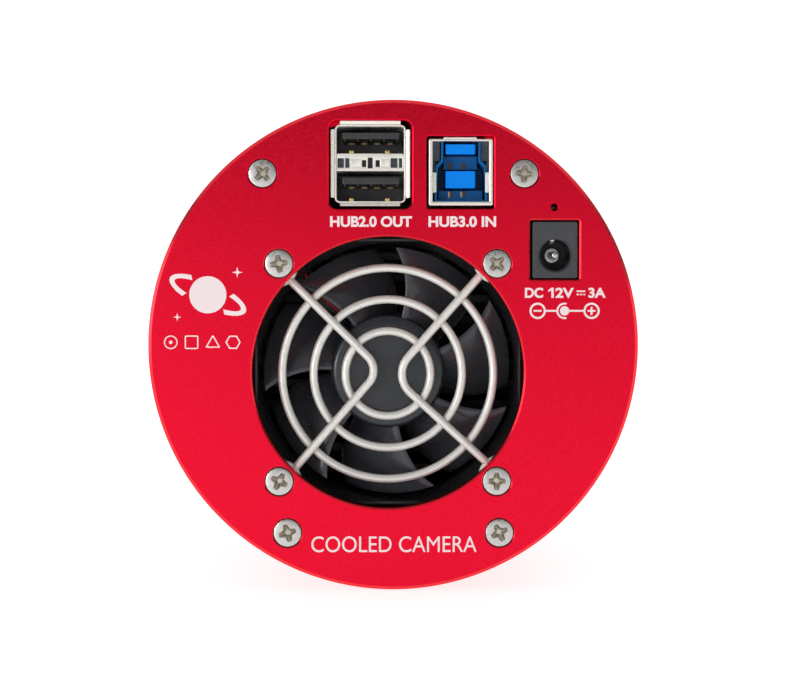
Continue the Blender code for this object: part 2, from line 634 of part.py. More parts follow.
def place_radially(builder):
    """Turn a shape made along +y so that it points out of the chamber at the desiccant angle."""
    lay = Matrix.Rotation(math.radians(90.0), 3, "X")
    turn = Matrix.Rotation(math.radians(90.0 - DESICCANT_ANGLE), 3, "Y")
    bmesh.ops.rotate(builder, verts=builder.verts, cent=(0, 0, 0), matrix=turn @ lay)
    bmesh.ops.translate(builder, verts=builder.verts, vec=(0.0, DESICCANT_Y, 0.0))
    return builder


def desiccant_shape(outline_mm):
    return place_radially(turned([(radius * MM, y * MM) for radius, y in outline_mm], steps=20))


def rear_housing():
    """The red tube round the heat sink, with an inner lip in front, screw posts and air slots."""
    lip_front, lip_rear = -39.6 * MM, -42.1 * MM
    outline = [
        (BODY_RADIUS - 0.3 * MM, TUBE_FRONT), (BODY_RADIUS, TUBE_FRONT - 0.3 * MM), (BODY_RADIUS, TUBE_REAR),
        (TUBE_BORE, TUBE_REAR), (TUBE_BORE, lip_rear), (36.8 * MM, lip_rear), (36.8 * MM, lip_front),
        (TUBE_BORE, lip_front), (TUBE_BORE, TUBE_FRONT),
    ]
    tube = node("rear_housing", turned(outline, steps=ROUND_STEPS), "red_anodised")
    builder = bmesh.new()
    for side in (0.0, 180.0):
        for number in range(10):
            add_air_slot(builder, side + math.copysign(1.0, 90.0 - side) * (-48.0 + 8.0 * number))
    combine(tube, cutter("air_slots", builder))
    builder = bmesh.new()
    for place in cover_screw_points():
        add_turned(builder, disc(3.4 * MM, TUBE_REAR + 0.2 * MM, -71.0 * MM), place, 20)
    combine(tube, cutter("screw_posts", builder), "UNION")
    builder = bmesh.new()
    for place in cover_screw_points():
        add_turned(builder, disc(CLEARANCE_RADIUS, TUBE_REAR - 1.0 * MM, -86.0 * MM), place, 14)
    for angle in HOUSING_SCREW_ANGLES:
        add_turned(builder, disc(1.4 * MM, lip_rear - 1.0 * MM, lip_front + 1.0 * MM),
                   polar(HOUSING_SCREW_CIRCLE, angle), 14)
    for shell in (USB_A_SHELL, USB_B_SHELL):
        add_prism(builder, rectangle(*inset(shell, -0.5 * MM)), TUBE_REAR - MM, USB_RECESS_FRONT)
    combine(tube, cutter("rear_housing_holes", builder))


def add_air_slot(builder, angle):
    """One round-ended slot through the tube's wall, along y, at an angle round the body."""
    half_wide, half_long, steps = 1.5 * MM, 8.0 * MM, 4
    middle_y = -62.0 * MM
    outline = []
    for end in (1.0, -1.0):
        for step in range(steps + 1):
            x, y = polar(half_wide, 180.0 * step / steps)
            outline.append((end * x, middle_y + end * (half_long - half_wide + y)))
    spin = Matrix.Rotation(math.radians(-angle), 3, "Y")
    walls = []
    for radius in (TUBE_BORE - 1.0 * MM, BODY_RADIUS + 1.0 * MM):
        walls.append([builder.verts.new(spin @ Vector((radius, y, across))) for across, y in outline])
    builder.faces.new(walls[0])
    builder.faces.new(list(reversed(walls[1])))
    for first in range(len(outline)):
        second = (first + 1) % len(outline)
        builder.faces.new((walls[0][first], walls[1][first], walls[1][second], walls[0][second]))


# --- Cooling --------------------------------------------------------------------------------

def heat_sink():
    """A round base behind the cooler with level fins that lead the air out through the sides."""
    base_front, base_rear, fin_rear = -39.6 * MM, -43.6 * MM, -68.5 * MM
    low_z, fin_thickness, fin_pitch, fin_count = -30.0 * MM, 1.4 * MM, 4.2 * MM, 12
    outline = [(base_front, low_z)]
    for number in range(fin_count):
        fin_low = low_z + fin_pitch * number
        fin_high = fin_low + fin_thickness
        if number:
            outline.append((base_rear, fin_low))
        outline += [(fin_rear, fin_low), (fin_rear, fin_high)]
        if number < fin_count - 1:
            outline.append((base_rear, fin_high))
    outline.append((base_front, outline[-1][1]))
    half_width = 38.0 * MM
    builder = bmesh.new()
    sides = [[builder.verts.new((x, y, z)) for y, z in outline] for x in (-half_width, half_width)]
    builder.faces.new(sides[0])
    builder.faces.new(list(reversed(sides[1])))
    for first in range(len(outline)):
        second = (first + 1) % len(outline)
        builder.faces.new((sides[0][first], sides[1][first], sides[1][second], sides[0][second]))
    sink = node("heatsink", builder, "bare_aluminium")
    envelope = [(0.0, fin_rear - 1.0 * MM), (39.5 * MM, fin_rear - 1.0 * MM), (39.5 * MM, -45.2 * MM),
                (36.2 * MM, -45.2 * MM), (36.2 * MM, base_front + 1.0 * MM), (0.0, base_front + 1.0 * MM)]
    combine(sink, cutter("heatsink_envelope", turned(envelope, steps=ROUND_STEPS)), "INTERSECT")


def cooler():
    """The cooler's two ceramic plates with the couples between them, and the cold finger."""
    square = rectangle(-15.0 * MM, 15.0 * MM, -15.0 * MM, 15.0 * MM)
    node("cooler_cold_plate", prism(square, -36.0 * MM, -35.2 * MM), "ceramic")
    node("cooler_hot_plate", prism(square, -39.3 * MM, -38.4 * MM), "ceramic")
    half, pitch, slot = 14.0 * MM, 4.0 * MM, 1.2 * MM
    couples = node("cooler_couples", prism(rectangle(-half, half, -half, half), -38.1 * MM, -36.3 * MM), "bronze")
    builder = bmesh.new()
    for number in range(6):
        middle = pitch * (number - 2.5)
        add_prism(builder, rectangle(middle - 0.5 * slot, middle + 0.5 * slot, -half - MM, half + MM),
                  -37.9 * MM, -35.5 * MM)
    combine(couples, cutter("couple_slots", builder))
    finger = bmesh.new()
    add_prism(finger, rounded_rectangle(-17.0 * MM, 17.0 * MM, -17.0 * MM, 17.0 * MM, 2.0 * MM), -34.9 * MM,
              -30.9 * MM)
    cold_finger = node("cold_finger", finger, "bare_aluminium")
    tip = prism(rectangle(-9.0 * MM, 9.0 * MM, -7.0 * MM, 7.0 * MM), -32.0 * MM, -20.5 * MM)
    combine(cold_finger, cutter("finger_tip", tip), "UNION")
    foam = node("finger_insulation", prism(rectangle(-21.5 * MM, 21.5 * MM, -21.5 * MM, 21.5 * MM), -30.6 * MM,
                                           -22.5 * MM), "foam")
    core = prism(rectangle(-9.4 * MM, 9.4 * MM, -7.4 * MM, 7.4 * MM), -31.6 * MM, -21.5 * MM)
    combine(foam, cutter("insulation_core", core))


def mid_plate():
    """The plate that closes the sensor chamber, with a window for the cooler and four board posts."""
    rear, front = -39.3 * MM, TUBE_FRONT
    plate = node("mid_plate", turned(disc(41.2 * MM, rear, front)), "black_anodised")
    builder = bmesh.new()
    for x, z in ((-24.5, -20.0), (24.5, -20.0), (-24.5, 20.0), (24.5, 20.0)):
        add_turned(builder, disc(1.8 * MM, front - MM, -22.5 * MM), (x * MM, z * MM), 12)
    combine(plate, cutter("board_posts", builder), "UNION")
    builder = bmesh.new()
    past = 1.0 * MM
    add_prism(builder, rectangle(-16.0 * MM, 16.0 * MM, -16.0 * MM, 16.0 * MM), rear - past, front + past)
    add_prism(builder, rectangle(-11.4 * MM, 11.4 * MM, 25.6 * MM, 31.4 * MM), rear - past, front + past)
    for angle in HOUSING_SCREW_ANGLES:
        add_turned(builder, disc(1.4 * MM, rear - past, front + past), polar(HOUSING_SCREW_CIRCLE, angle), 14)
    combine(plate, cutter("mid_plate_holes", builder))
    block = prism(rectangle(-11.0 * MM, 11.0 * MM, 26.0 * MM, 31.0 * MM), -46.0 * MM, -31.0 * MM)
    node("feedthrough_connector", block, "black_plastic")


# --- Sensor and window ----------------------------------------------------------------------

def image_sensor():
    board_rear, board_front = -22.2 * MM, -20.6 * MM
    board = node("sensor_board", turned(disc(33.8 * MM, board_rear, board_front), steps=48), "green_board")
    hole = rectangle(-9.4 * MM, 9.4 * MM, -7.4 * MM, 7.4 * MM)
    combine(board, cutter("finger_hole", prism(hole, board_rear - MM, board_front + MM)))
    package = rounded_rectangle(-24.0 * MM, 24.0 * MM, -19.0 * MM, 19.0 * MM, 1.0 * MM)
    sensor = node("image_sensor", prism(package, -20.2 * MM, -17.1 * MM), "ceramic")
    tray = prism(rectangle(-20.5 * MM, 20.5 * MM, -15.0 * MM, 15.0 * MM), -18.3 * MM, -16.0 * MM)
    combine(sensor, cutter("sensor_tray", tray))
    die = prism(rectangle(-18.6 * MM, 18.6 * MM, -12.6 * MM, 12.6 * MM), -18.0 * MM, SENSOR_PLANE)
    node("sensor_die", die, "sensor_die")
    glass = rounded_rectangle(-22.5 * MM, 22.5 * MM, -17.5 * MM, 17.5 * MM, 0.5 * MM, 2)
    node("sensor_cover_glass", prism(glass, -16.8 * MM, -16.1 * MM), "clear_glass")
    flex_low = 27.0 * MM
    path = [(-30.7, 0.0), (-27.0, 0.0), (-24.8, 1.2), (-22.5, 1.2), (-22.5, 1.6), (-25.0, 1.6), (-27.2, 0.4),
            (-30.7, 0.4)]
    builder = bmesh.new()
    sides = [[builder.verts.new((x, y * MM, flex_low + z * MM)) for y, z in path] for x in (-9.0 * MM, 9.0 * MM)]
    builder.faces.new(sides[0])
    builder.faces.new(list(reversed(sides[1])))
    for first in range(len(path)):
        second = (first + 1) % len(path)
        builder.faces.new((sides[0][first], sides[1][first], sides[1][second], sides[0][second]))
    node("sensor_flex", builder, "amber_film")


def window():
    bevel = 0.3 * MM
    glass = [(0.0, -10.1 * MM), (WINDOW_RADIUS - bevel, -10.1 * MM), (WINDOW_RADIUS, -10.1 * MM + bevel),
             (WINDOW_RADIUS, -8.4 * MM), (WINDOW_RADIUS - bevel, -8.1 * MM), (0.0, -8.1 * MM)]
    node("window_glass", turned(glass, steps=48), "clear_glass")
    node("window_o_ring", turned(round_ring(24.9 * MM, 0.4 * MM, -10.8 * MM), steps=48), "black_rubber")
    node("window_retainer", turned(ring(24.2 * MM, 30.1 * MM, -7.8 * MM, -6.4 * MM), steps=48), "black_anodised")
    node("dew_heater_ring", turned(ring(24.5 * MM, 31.0 * MM, -14.2 * MM, -13.8 * MM), steps=48), "amber_film")
    node("chamber_o_ring", turned(round_ring(36.05 * MM, 0.5 * MM, CHAMBER_REAR + 0.65 * MM), steps=48),
         "black_rubber")


# --- Tilt plate -----------------------------------------------------------------------------

def tilt_plate():
    rear = -TILT_THICKNESS
    edge = 0.6 * MM
    outline = [(THROAT_RADIUS, rear), (TILT_RADIUS - edge, rear), (TILT_RADIUS, rear + edge),
               (TILT_RADIUS, -edge), (TILT_RADIUS - edge, 0.0), (THROAT_RADIUS + edge, 0.0), (THROAT_RADIUS, -edge)]
    plate = node("tilt_plate", turned(outline, steps=ROUND_STEPS), "black_anodised")
    builder = bmesh.new()
    past = 1.0 * MM
    for angle in PULL_SCREW_ANGLES:
        bore = [(0.0, rear - past), (1.9 * MM, rear - past), (1.9 * MM, -3.2 * MM), (3.2 * MM, -3.2 * MM),
                (3.2 * MM, past), (0.0, past)]
        add_turned(builder, bore, polar(TILT_SCREW_CIRCLE, angle), 20)
        add_turned(builder, disc(CLEARANCE_RADIUS, rear - past, past),
                   polar(TILT_SCREW_CIRCLE, angle + PUSH_SCREW_OFFSET), 16)
    combine(plate, cutter("tilt_plate_holes", builder))
    node("light_seal", turned(ring(27.5 * MM, 31.0 * MM, -5.8 * MM, -5.4 * MM), steps=48), "foam")


def main():
    for existing in list(bpy.data.objects):
        bpy.data.objects.remove(existing)
    rear_cover()
    screws()
    fan_guard()
    fan_frame()
    fan_lead()
    fan_motor()
    stacked_usb()
    square_usb()
    power_jack()
    electronics()
    front_housing()
    rear_housing()
    heat_sink()
    cooler()
    mid_plate()
    image_sensor()
    window()
    tilt_plate()


main()
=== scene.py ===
"""Looks of the cooled astronomy camera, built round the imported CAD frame.

The pieces are shaped in millimetres in the CAD frame, and to_mesh turns them into metres. The stage, the
lights, the camera and the relief of the materials are in metres. +Y points forward to the telescope, +Z
is up, and the rear face with its fan and sockets looks towards -Y. Outlines across the body are (x, z)
points, and turned outlines are (radius, y) points.
"""
import json
import math

import bmesh
import bpy
from mathutils import Matrix, Vector

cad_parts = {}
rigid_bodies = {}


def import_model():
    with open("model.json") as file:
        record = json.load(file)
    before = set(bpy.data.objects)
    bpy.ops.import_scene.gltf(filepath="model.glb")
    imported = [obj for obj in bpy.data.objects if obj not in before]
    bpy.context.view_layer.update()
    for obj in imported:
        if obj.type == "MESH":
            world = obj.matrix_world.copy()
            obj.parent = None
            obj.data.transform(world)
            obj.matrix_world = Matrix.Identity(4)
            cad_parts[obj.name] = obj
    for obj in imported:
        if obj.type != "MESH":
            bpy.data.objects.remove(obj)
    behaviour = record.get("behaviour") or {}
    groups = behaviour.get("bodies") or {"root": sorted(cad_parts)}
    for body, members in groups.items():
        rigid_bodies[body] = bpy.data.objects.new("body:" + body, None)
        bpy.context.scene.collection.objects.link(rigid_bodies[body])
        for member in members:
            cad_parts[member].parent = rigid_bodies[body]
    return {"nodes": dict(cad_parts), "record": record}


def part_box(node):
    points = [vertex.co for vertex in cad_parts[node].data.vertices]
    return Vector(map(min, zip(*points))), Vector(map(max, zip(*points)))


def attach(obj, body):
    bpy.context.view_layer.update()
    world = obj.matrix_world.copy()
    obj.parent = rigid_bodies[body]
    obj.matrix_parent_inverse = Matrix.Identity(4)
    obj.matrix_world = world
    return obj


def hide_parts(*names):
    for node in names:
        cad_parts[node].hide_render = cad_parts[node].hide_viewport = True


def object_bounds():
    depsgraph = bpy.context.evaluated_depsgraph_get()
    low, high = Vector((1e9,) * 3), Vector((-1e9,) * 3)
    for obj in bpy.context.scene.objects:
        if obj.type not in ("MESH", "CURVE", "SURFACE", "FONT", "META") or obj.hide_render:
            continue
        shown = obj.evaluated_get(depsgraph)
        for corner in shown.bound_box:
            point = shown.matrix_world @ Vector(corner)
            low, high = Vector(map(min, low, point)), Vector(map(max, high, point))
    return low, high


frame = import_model()
cad_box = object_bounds()

MM = 0.001
BODY = "camera_body"
FINE = 192


def box(name):
    """The lowest and the highest corner of a CAD node, in millimetres."""
    low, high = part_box(name)
    return Vector(low) / MM, Vector(high) / MM


def middle_of(name):
    """The middle of a CAD node across the body, as (x, z)."""
    low, high = box(name)
    return (0.5 * (low.x + high.x), 0.5 * (low.z + high.z))


cover_low, cover_high = box("rear_cover")
fan_low, fan_high = box("fan_frame")
rotor_low, rotor_high = box("fan_rotor")
tube_low, tube_high = box("rear_housing")
chamber_low, chamber_high = box("front_housing")
tilt_low, tilt_high = box("tilt_plate")

BODY_RADIUS = cover_high.x
REAR = cover_low.y
PRINT_DEPTH = 0.015
FACE = REAR + PRINT_DEPTH
FAN_X, FAN_Z = middle_of("fan_frame")
FAN_OPENING = 25.0


# --- Materials ------------------------------------------------------------------------------

def socket(node, name):
    """A node's input by name, also where several share the name and only one is in use."""
    for entry in node.inputs:
        if entry.name == name and entry.enabled:
            return entry
    return node.inputs[name]


def out(node, name):
    for entry in node.outputs:
        if entry.name == name and entry.enabled:
            return entry
    return node.outputs[name]


class Surface:
    """A Principled material whose colour, roughness and relief come from procedural textures."""

    def __init__(self, name, colour, metallic=0.0, roughness=0.5, **constants):
        self.material = bpy.data.materials.new(name)
        self.material.use_nodes = True
        self.tree = self.material.node_tree
        self.shader = self.tree.nodes["Principled BSDF"]
        self.colour = colour
        self.roughness = roughness
        self.shader.inputs["Base Color"].default_value = (*colour, 1.0)
        self.shader.inputs["Metallic"].default_value = metallic
        self.shader.inputs["Roughness"].default_value = roughness
        for key, value in constants.items():
            self.shader.inputs[key.replace("_", " ")].default_value = value
        self.place = self.tree.nodes.new("ShaderNodeTexCoord").outputs["Object"]

    def stretched(self, stretch):
        mapping = self.tree.nodes.new("ShaderNodeMapping")
        mapping.inputs["Scale"].default_value = stretch
        self.tree.links.new(self.place, mapping.inputs["Vector"])
        return mapping.outputs["Vector"]

    def noise(self, scale, detail=3.0, stretch=(1.0, 1.0, 1.0), rough=0.55):
        texture = self.tree.nodes.new("ShaderNodeTexNoise")
        texture.inputs["Scale"].default_value = scale
        texture.inputs["Detail"].default_value = detail
        texture.inputs["Roughness"].default_value = rough
        self.tree.links.new(self.stretched(stretch), texture.inputs["Vector"])
        return texture.outputs["Fac"]

    def ramped(self, source, low, high):
        """The source's middle stretch (0.3 to 0.7) turned into values from low to high."""
        ranged = self.tree.nodes.new("ShaderNodeMapRange")
        ranged.inputs["From Min"].default_value = 0.3
        ranged.inputs["From Max"].default_value = 0.7
        ranged.inputs["To Min"].default_value = low
        ranged.inputs["To Max"].default_value = high
        self.tree.links.new(source, ranged.inputs["Value"])
        return ranged.outputs["Result"]

    def vary_roughness(self, source, amount):
        values = self.ramped(source, self.roughness - amount, self.roughness + amount)
        self.tree.links.new(values, self.shader.inputs["Roughness"])

    def vary_colour(self, source, other):
        mix = self.tree.nodes.new("ShaderNodeMix")
        mix.data_type = "RGBA"
        socket(mix, "A").default_value = (*self.colour, 1.0)
        socket(mix, "B").default_value = (*other, 1.0)
        self.tree.links.new(self.ramped(source, 0.0, 1.0), socket(mix, "Factor"))
        self.tree.links.new(out(mix, "Result"), self.shader.inputs["Base Color"])

    def relief(self, source, depth):
        bump = self.tree.nodes.new("ShaderNodeBump")
        bump.inputs["Strength"].default_value = 1.0
        bump.inputs["Distance"].default_value = depth
        self.tree.links.new(source, bump.inputs["Height"])
        self.tree.links.new(bump.outputs["Normal"], self.shader.inputs["Normal"])


def blasted(name, colour, other, metallic, roughness, edge_tint=(1.0, 1.0, 1.0)):
    """Bead-blasted anodised metal: fine even pits, small changes of tone and a thin sealed skin."""
    grain = 2600.0
    surface = Surface(name, colour, metallic, roughness, Coat_Weight=0.12, Coat_Roughness=0.3)
    surface.shader.inputs["Specular Tint"].default_value = (*edge_tint, 1.0)
    pits = surface.noise(grain, 4.0)
    surface.vary_colour(surface.noise(grain * 0.6, 5.0, rough=0.6), other)
    surface.vary_roughness(surface.noise(grain * 0.9, 3.0), 0.07)
    surface.relief(pits, 0.0045 * MM)
    return surface.material


def plated(name, colour, roughness, other=None, grain=900.0, depth=0.001 * MM, metallic=1.0):
    """Plated metal: bright, with soft waviness and fine wear."""
    surface = Surface(name, colour, metallic, roughness)
    surface.vary_roughness(surface.noise(grain, 4.0), roughness * 0.35)
    surface.vary_colour(surface.noise(grain * 0.5, 3.0), other or tuple(0.88 * part for part in colour))
    surface.relief(surface.noise(grain * 2.0, 3.0), depth)
    return surface.material


def moulded(name, colour, roughness, lighter=1.35, grain=1800.0, depth=0.003 * MM, **constants):
    """Moulded plastic: slight texture and small changes of gloss."""
    surface = Surface(name, colour, 0.0, roughness, **constants)
    surface.vary_roughness(surface.noise(grain * 0.25, 3.0), 0.08)
    surface.vary_colour(surface.noise(grain * 0.4, 4.0), tuple(min(1.0, lighter * part) for part in colour))
    surface.relief(surface.noise(grain, 3.0), depth)
    return surface.material


def machined(name, colour, roughness, stretch):
    """Machined metal with fine lines along one direction."""
    surface = Surface(name, colour, 1.0, roughness)
    lines = surface.noise(500.0, 4.0, stretch)
    surface.vary_roughness(lines, roughness * 0.3)
    surface.vary_colour(surface.noise(200.0, 3.0), tuple(0.85 * part for part in colour))
    surface.relief(lines, 0.004 * MM)
    return surface.material


def coated_glass(name, tint):
    """Clear glass with an anti-reflection coating, whose faint reflections are violet."""
    surface = Surface(name, tint, 0.0, 0.02, Transmission_Weight=1.0, IOR=1.14)
    surface.shader.inputs["Specular Tint"].default_value = (0.5, 0.45, 1.0, 1.0)
    surface.vary_roughness(surface.noise(120.0, 2.0), 0.01)
    return surface.material


def board_material():
    """Green solder mask with copper tracks that shimmer through it."""
    surface = Surface("green_board", (0.008, 0.09, 0.035), 0.0, 0.35, Coat_Weight=0.6, Coat_Roughness=0.15)
    bricks = surface.tree.nodes.new("ShaderNodeTexBrick")
    bricks.inputs["Scale"].default_value = 260.0
    bricks.inputs["Mortar Size"].default_value = 0.03
    bricks.inputs["Color1"].default_value = (0.0, 0.0, 0.0, 1.0)
    bricks.inputs["Color2"].default_value = (0.35, 0.35, 0.35, 1.0)
    bricks.inputs["Mortar"].default_value = (1.0, 1.0, 1.0, 1.0)
    surface.tree.links.new(surface.place, bricks.inputs["Vector"])
    surface.vary_colour(bricks.outputs["Color"], (0.02, 0.2, 0.09))
    surface.relief(bricks.outputs["Fac"], 0.02 * MM)
    return surface.material


def sensor_material():
    """Dark silicon with a faint iridescent sheen from its fine pixel grid."""
    surface = Surface("sensor_die", (0.035, 0.045, 0.075), 0.6, 0.16)
    surface.shader.inputs["Thin Film Thickness"].default_value = 420.0
    surface.vary_colour(surface.noise(90.0, 2.0), (0.06, 0.04, 0.09))
    surface.vary_roughness(surface.noise(2000.0, 2.0), 0.05)
    return surface.material


def foam_material():
    surface = Surface("foam", (0.022, 0.022, 0.024), 0.0, 0.9, Specular_IOR_Level=0.2)
    cells = surface.tree.nodes.new("ShaderNodeTexVoronoi")
    cells.inputs["Scale"].default_value = 2200.0
    surface.tree.links.new(surface.place, cells.inputs["Vector"])
    surface.relief(cells.outputs["Distance"], 0.12 * MM)
    surface.vary_colour(surface.noise(900.0), (0.05, 0.05, 0.055))
    return surface.material


MATERIALS = {
    "red_anodised": blasted("red_anodised", (0.78, 0.003, 0.026), (0.83, 0.004, 0.032), 1.0, 0.27,
                            (1.0, 0.3, 0.5)),
    # A lighter, pinker copy of the red anodising for the chamfers: a painted highlight.
    "red_painted_edge_highlight": blasted("red_painted_edge_highlight", (0.84, 0.022, 0.035), (0.9, 0.035, 0.05), 1.0, 0.24),
    "black_anodised": blasted("black_anodised", (0.006, 0.006, 0.0065), (0.012, 0.012, 0.013), 0.5, 0.4),
    "bright_screw": plated("bright_screw", (0.62, 0.605, 0.59), 0.34, (0.56, 0.545, 0.53), 2500.0),
    "screw_recess": plated("screw_recess", (0.66, 0.63, 0.55), 0.36, (0.5, 0.47, 0.41), 2500.0),
    "dark_screw": plated("dark_screw", (0.05, 0.05, 0.055), 0.32),
    "nickel_wire": plated("nickel_wire", (0.8, 0.79, 0.75), 0.42, (0.74, 0.73, 0.69), 900.0, metallic=0.4),
    "black_plastic": moulded("black_plastic", (0.028, 0.028, 0.031), 0.36),
    "fan_plastic": moulded("fan_plastic", (0.018, 0.0205, 0.026), 0.27, 1.1, 900.0, 0.0015 * MM),
    # A lighter copy of the rotor plastic for the blades: painted sheen.
    "blade_plastic_painted_sheen": moulded("blade_plastic_painted_sheen", (0.042, 0.044, 0.052), 0.27, 1.1, 900.0, 0.0015 * MM),
    # A darker copy of the fan plastic for the frame, the struts and the motor plate: painted shade deep in
    # the fan.
    "frame_plastic_painted_shade": moulded("frame_plastic_painted_shade", (0.014, 0.014, 0.0155), 0.27, 1.2, 900.0, 0.0015 * MM),
    "jack_plastic": moulded("jack_plastic", (0.04, 0.043, 0.05), 0.5, 1.2, 2600.0, 0.006 * MM),
    "connector_steel": plated("connector_steel", (0.88, 0.85, 0.78), 0.32, (0.85, 0.82, 0.75), 260.0,
                              0.0008 * MM, 0.45),
    # A dark copy of the connector steel for sheets inside the sockets: painted shade.
    "steel_painted_shade": plated("steel_painted_shade", (0.1, 0.115, 0.135), 0.35),
    "gold": plated("gold", (0.86, 0.62, 0.24), 0.28),
    "blue_plastic": moulded("blue_plastic", (0.0, 0.1, 0.3), 0.3, 1.1, 1500.0, Specular_IOR_Level=0.22),
    # A lighter copy of the insulator's blue for its tongues: painted light against the darker blue round
    # them.
    "blue_plastic_painted_light": moulded("blue_plastic_painted_light", (0.0, 0.23, 0.86), 0.5, 1.05, 1500.0,
                                   Specular_IOR_Level=0.12),
    "green_board": board_material(),
    "bare_aluminium": machined("bare_aluminium", (0.72, 0.73, 0.75), 0.36, (1.0, 0.05, 1.0)),
    "ceramic": moulded("ceramic", (0.7, 0.7, 0.66), 0.55, 0.92, 3000.0),
    "sensor_die": sensor_material(),
    "clear_glass": coated_glass("clear_glass", (0.93, 0.99, 0.96)),
    "black_rubber": moulded("black_rubber", (0.015, 0.015, 0.016), 0.6, 1.5, 2200.0, 0.01 * MM),
    "amber_film": moulded("amber_film", (0.5, 0.2, 0.03), 0.3, 0.8, 700.0),
    "bronze": machined("bronze", (0.55, 0.36, 0.17), 0.38, (1.0, 1.0, 1.0)),
    "copper": machined("copper", (0.72, 0.33, 0.17), 0.32, (1.0, 8.0, 1.0)),
    "led": moulded("led", (0.1, 0.12, 0.1), 0.2, 0.9, 1200.0),
    "foam": foam_material(),
    "lead_jacket": moulded("lead_jacket", (0.55, 0.015, 0.03), 0.4, 0.7, 900.0),
    "black_jacket": moulded("black_jacket", (0.02, 0.02, 0.021), 0.42, 1.4, 900.0),
    "white_print": moulded("white_print", (0.95, 0.8, 0.81), 0.6, 0.95, 4000.0, 0.004 * MM),
    "bright_tin": plated("bright_tin", (0.93, 0.91, 0.84), 0.35, metallic=0.5),
}


# --- Mesh helpers ---------------------------------------------------------------------------

def to_mesh(builder, name):
    """Turn a bmesh in millimetres into a mesh in metres."""
    bmesh.ops.recalc_face_normals(builder, faces=builder.faces)
    bmesh.ops.scale(builder, vec=(MM, MM, MM), verts=builder.verts)
    mesh = bpy.data.meshes.new(name)
    builder.to_mesh(mesh)
    builder.free()
    return mesh


def new_object(name, data):
    holder = bpy.data.objects.new(name, data)
    bpy.context.collection.objects.link(holder)
    return holder


def shade(mesh, sharp):
    """Smooth shading, with sharp edges where two faces meet at more than an angle."""
    mesh.shade_smooth()
    mesh.set_sharp_from_angle(angle=math.radians(sharp))


def finish_piece(builder, name, finish, body=BODY, replaces=(), slot=None, sharp=32.0):
    """Turn a bmesh into a piece that rides on a body and stands for the CAD nodes that it replaces."""
    mesh = to_mesh(builder, name)
    shade(mesh, sharp)
    piece = new_object(name, mesh)
    piece.data.materials.append(MATERIALS[finish])
    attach(piece, body)
    if replaces:
        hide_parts(*replaces)
    slot = slot or finish
    return piece


def apply_modifiers(piece):
    """Bake a piece's modifiers into its mesh."""
    evaluated = piece.evaluated_get(bpy.context.evaluated_depsgraph_get())
    baked = bpy.data.meshes.new_from_object(evaluated)
    piece.modifiers.clear()
    piece.data = baked


def cut(piece, tool_builder, operation="DIFFERENCE", sharp=32.0):
    """Cut a bmesh out of a piece, or join it, and bake the result."""
    tool = new_object("tool", to_mesh(tool_builder, "tool"))
    modifier = piece.modifiers.new("cut", "BOOLEAN")
    modifier.operation = operation
    modifier.solver = "EXACT"
    modifier.object = tool
    apply_modifiers(piece)
    bpy.data.objects.remove(tool)
    shade(piece.data, sharp)


def bevel(piece, width, angle):
    """Round a piece's edges that are sharper than an angle."""
    modifier = piece.modifiers.new("bevel", "BEVEL")
    modifier.width = width * MM
    modifier.segments = 2
    modifier.limit_method = "ANGLE"
    modifier.angle_limit = math.radians(angle)
    modifier.harden_normals = False
    apply_modifiers(piece)


def polar(radius, degrees):
    return (radius * math.cos(math.radians(degrees)), radius * math.sin(math.radians(degrees)))


def polygon(count, radius, centre, turn=0.0):
    """A regular polygon of points, whose first corner stands at an angle in degrees."""
    corners = [polar(radius, 360.0 / count * index + turn) for index in range(count)]
    return [(centre[0] + x, centre[1] + z) for x, z in corners]


def circle(radius, centre, steps=96):
    points = [polar(radius, 360.0 * step / steps) for step in range(steps)]
    return [(centre[0] + x, centre[1] + z) for x, z in points]


def rectangle(low_x, high_x, low_z, high_z):
    return [(low_x, low_z), (high_x, low_z), (high_x, high_z), (low_x, high_z)]


def rounded(points, radius, steps=6):
    """A closed outline with each corner rounded; radius is one number or one for each corner."""
    count = len(points)
    radii = radius if isinstance(radius, (list, tuple)) else [radius] * count
    result = []
    for index in range(count):
        here = Vector(points[index])
        before = Vector(points[index - 1]) - here
        after = Vector(points[(index + 1) % count]) - here
        turn = before.angle(after)
        reach = radii[index] / math.tan(0.5 * turn) if turn > 0.02 else 0.0
        reach = min(reach, 0.49 * before.length, 0.49 * after.length)
        if radii[index] <= 0.0 or reach < 1e-8 or turn > math.radians(178.0):
            result.append(tuple(here))
            continue
        real = reach * math.tan(0.5 * turn)
        halfway = (before.normalized() + after.normalized()).normalized()
        middle = here + halfway * (real / math.sin(0.5 * turn))
        start = here + before.normalized() * reach - middle
        end = here + after.normalized() * reach - middle
        sweep = start.angle_signed(end)
        for step in range(steps + 1):
            spin = Matrix.Rotation(-sweep * step / steps, 2)
            result.append(tuple(middle + spin @ start))
    return result


def area(loop):
    return 0.5 * sum(a[0] * b[1] - b[0] * a[1] for a, b in zip(loop, loop[1:] + loop[:1]))


def moved_left(loop, amount):
    """An outline whose points move to the left of its direction, keeping its corners."""
    count = len(loop)
    result = []
    for index in range(count):
        here = Vector(loop[index])
        into = (here - Vector(loop[index - 1])).normalized()
        onward = (Vector(loop[(index + 1) % count]) - here).normalized()
        first, second = Vector((-into.y, into.x)), Vector((-onward.y, onward.x))
        middle = first + second
        middle = middle.normalized() if middle.length > 1e-6 else first
        result.append(tuple(here + middle * (amount / max(middle.dot(first), 0.35))))
    return result


def join_rows(builder, rows):
    """Faces between rows of points, where each row is a closed loop."""
    count = len(rows[0])
    for near, far in zip(rows, rows[1:]):
        for first in range(count):
            second = (first + 1) % count
            builder.faces.new((near[first], near[second], far[second], far[first]))


def fill_between(builder, rims):
    """The flat face inside the first closed rim and outside the others."""
    edges = []
    for rim in rims:
        for first in range(len(rim)):
            edges.append(builder.edges.get((rim[first], rim[(first + 1) % len(rim)])))
    bmesh.ops.triangle_fill(builder, edges=edges, use_beauty=True, use_dissolve=False)


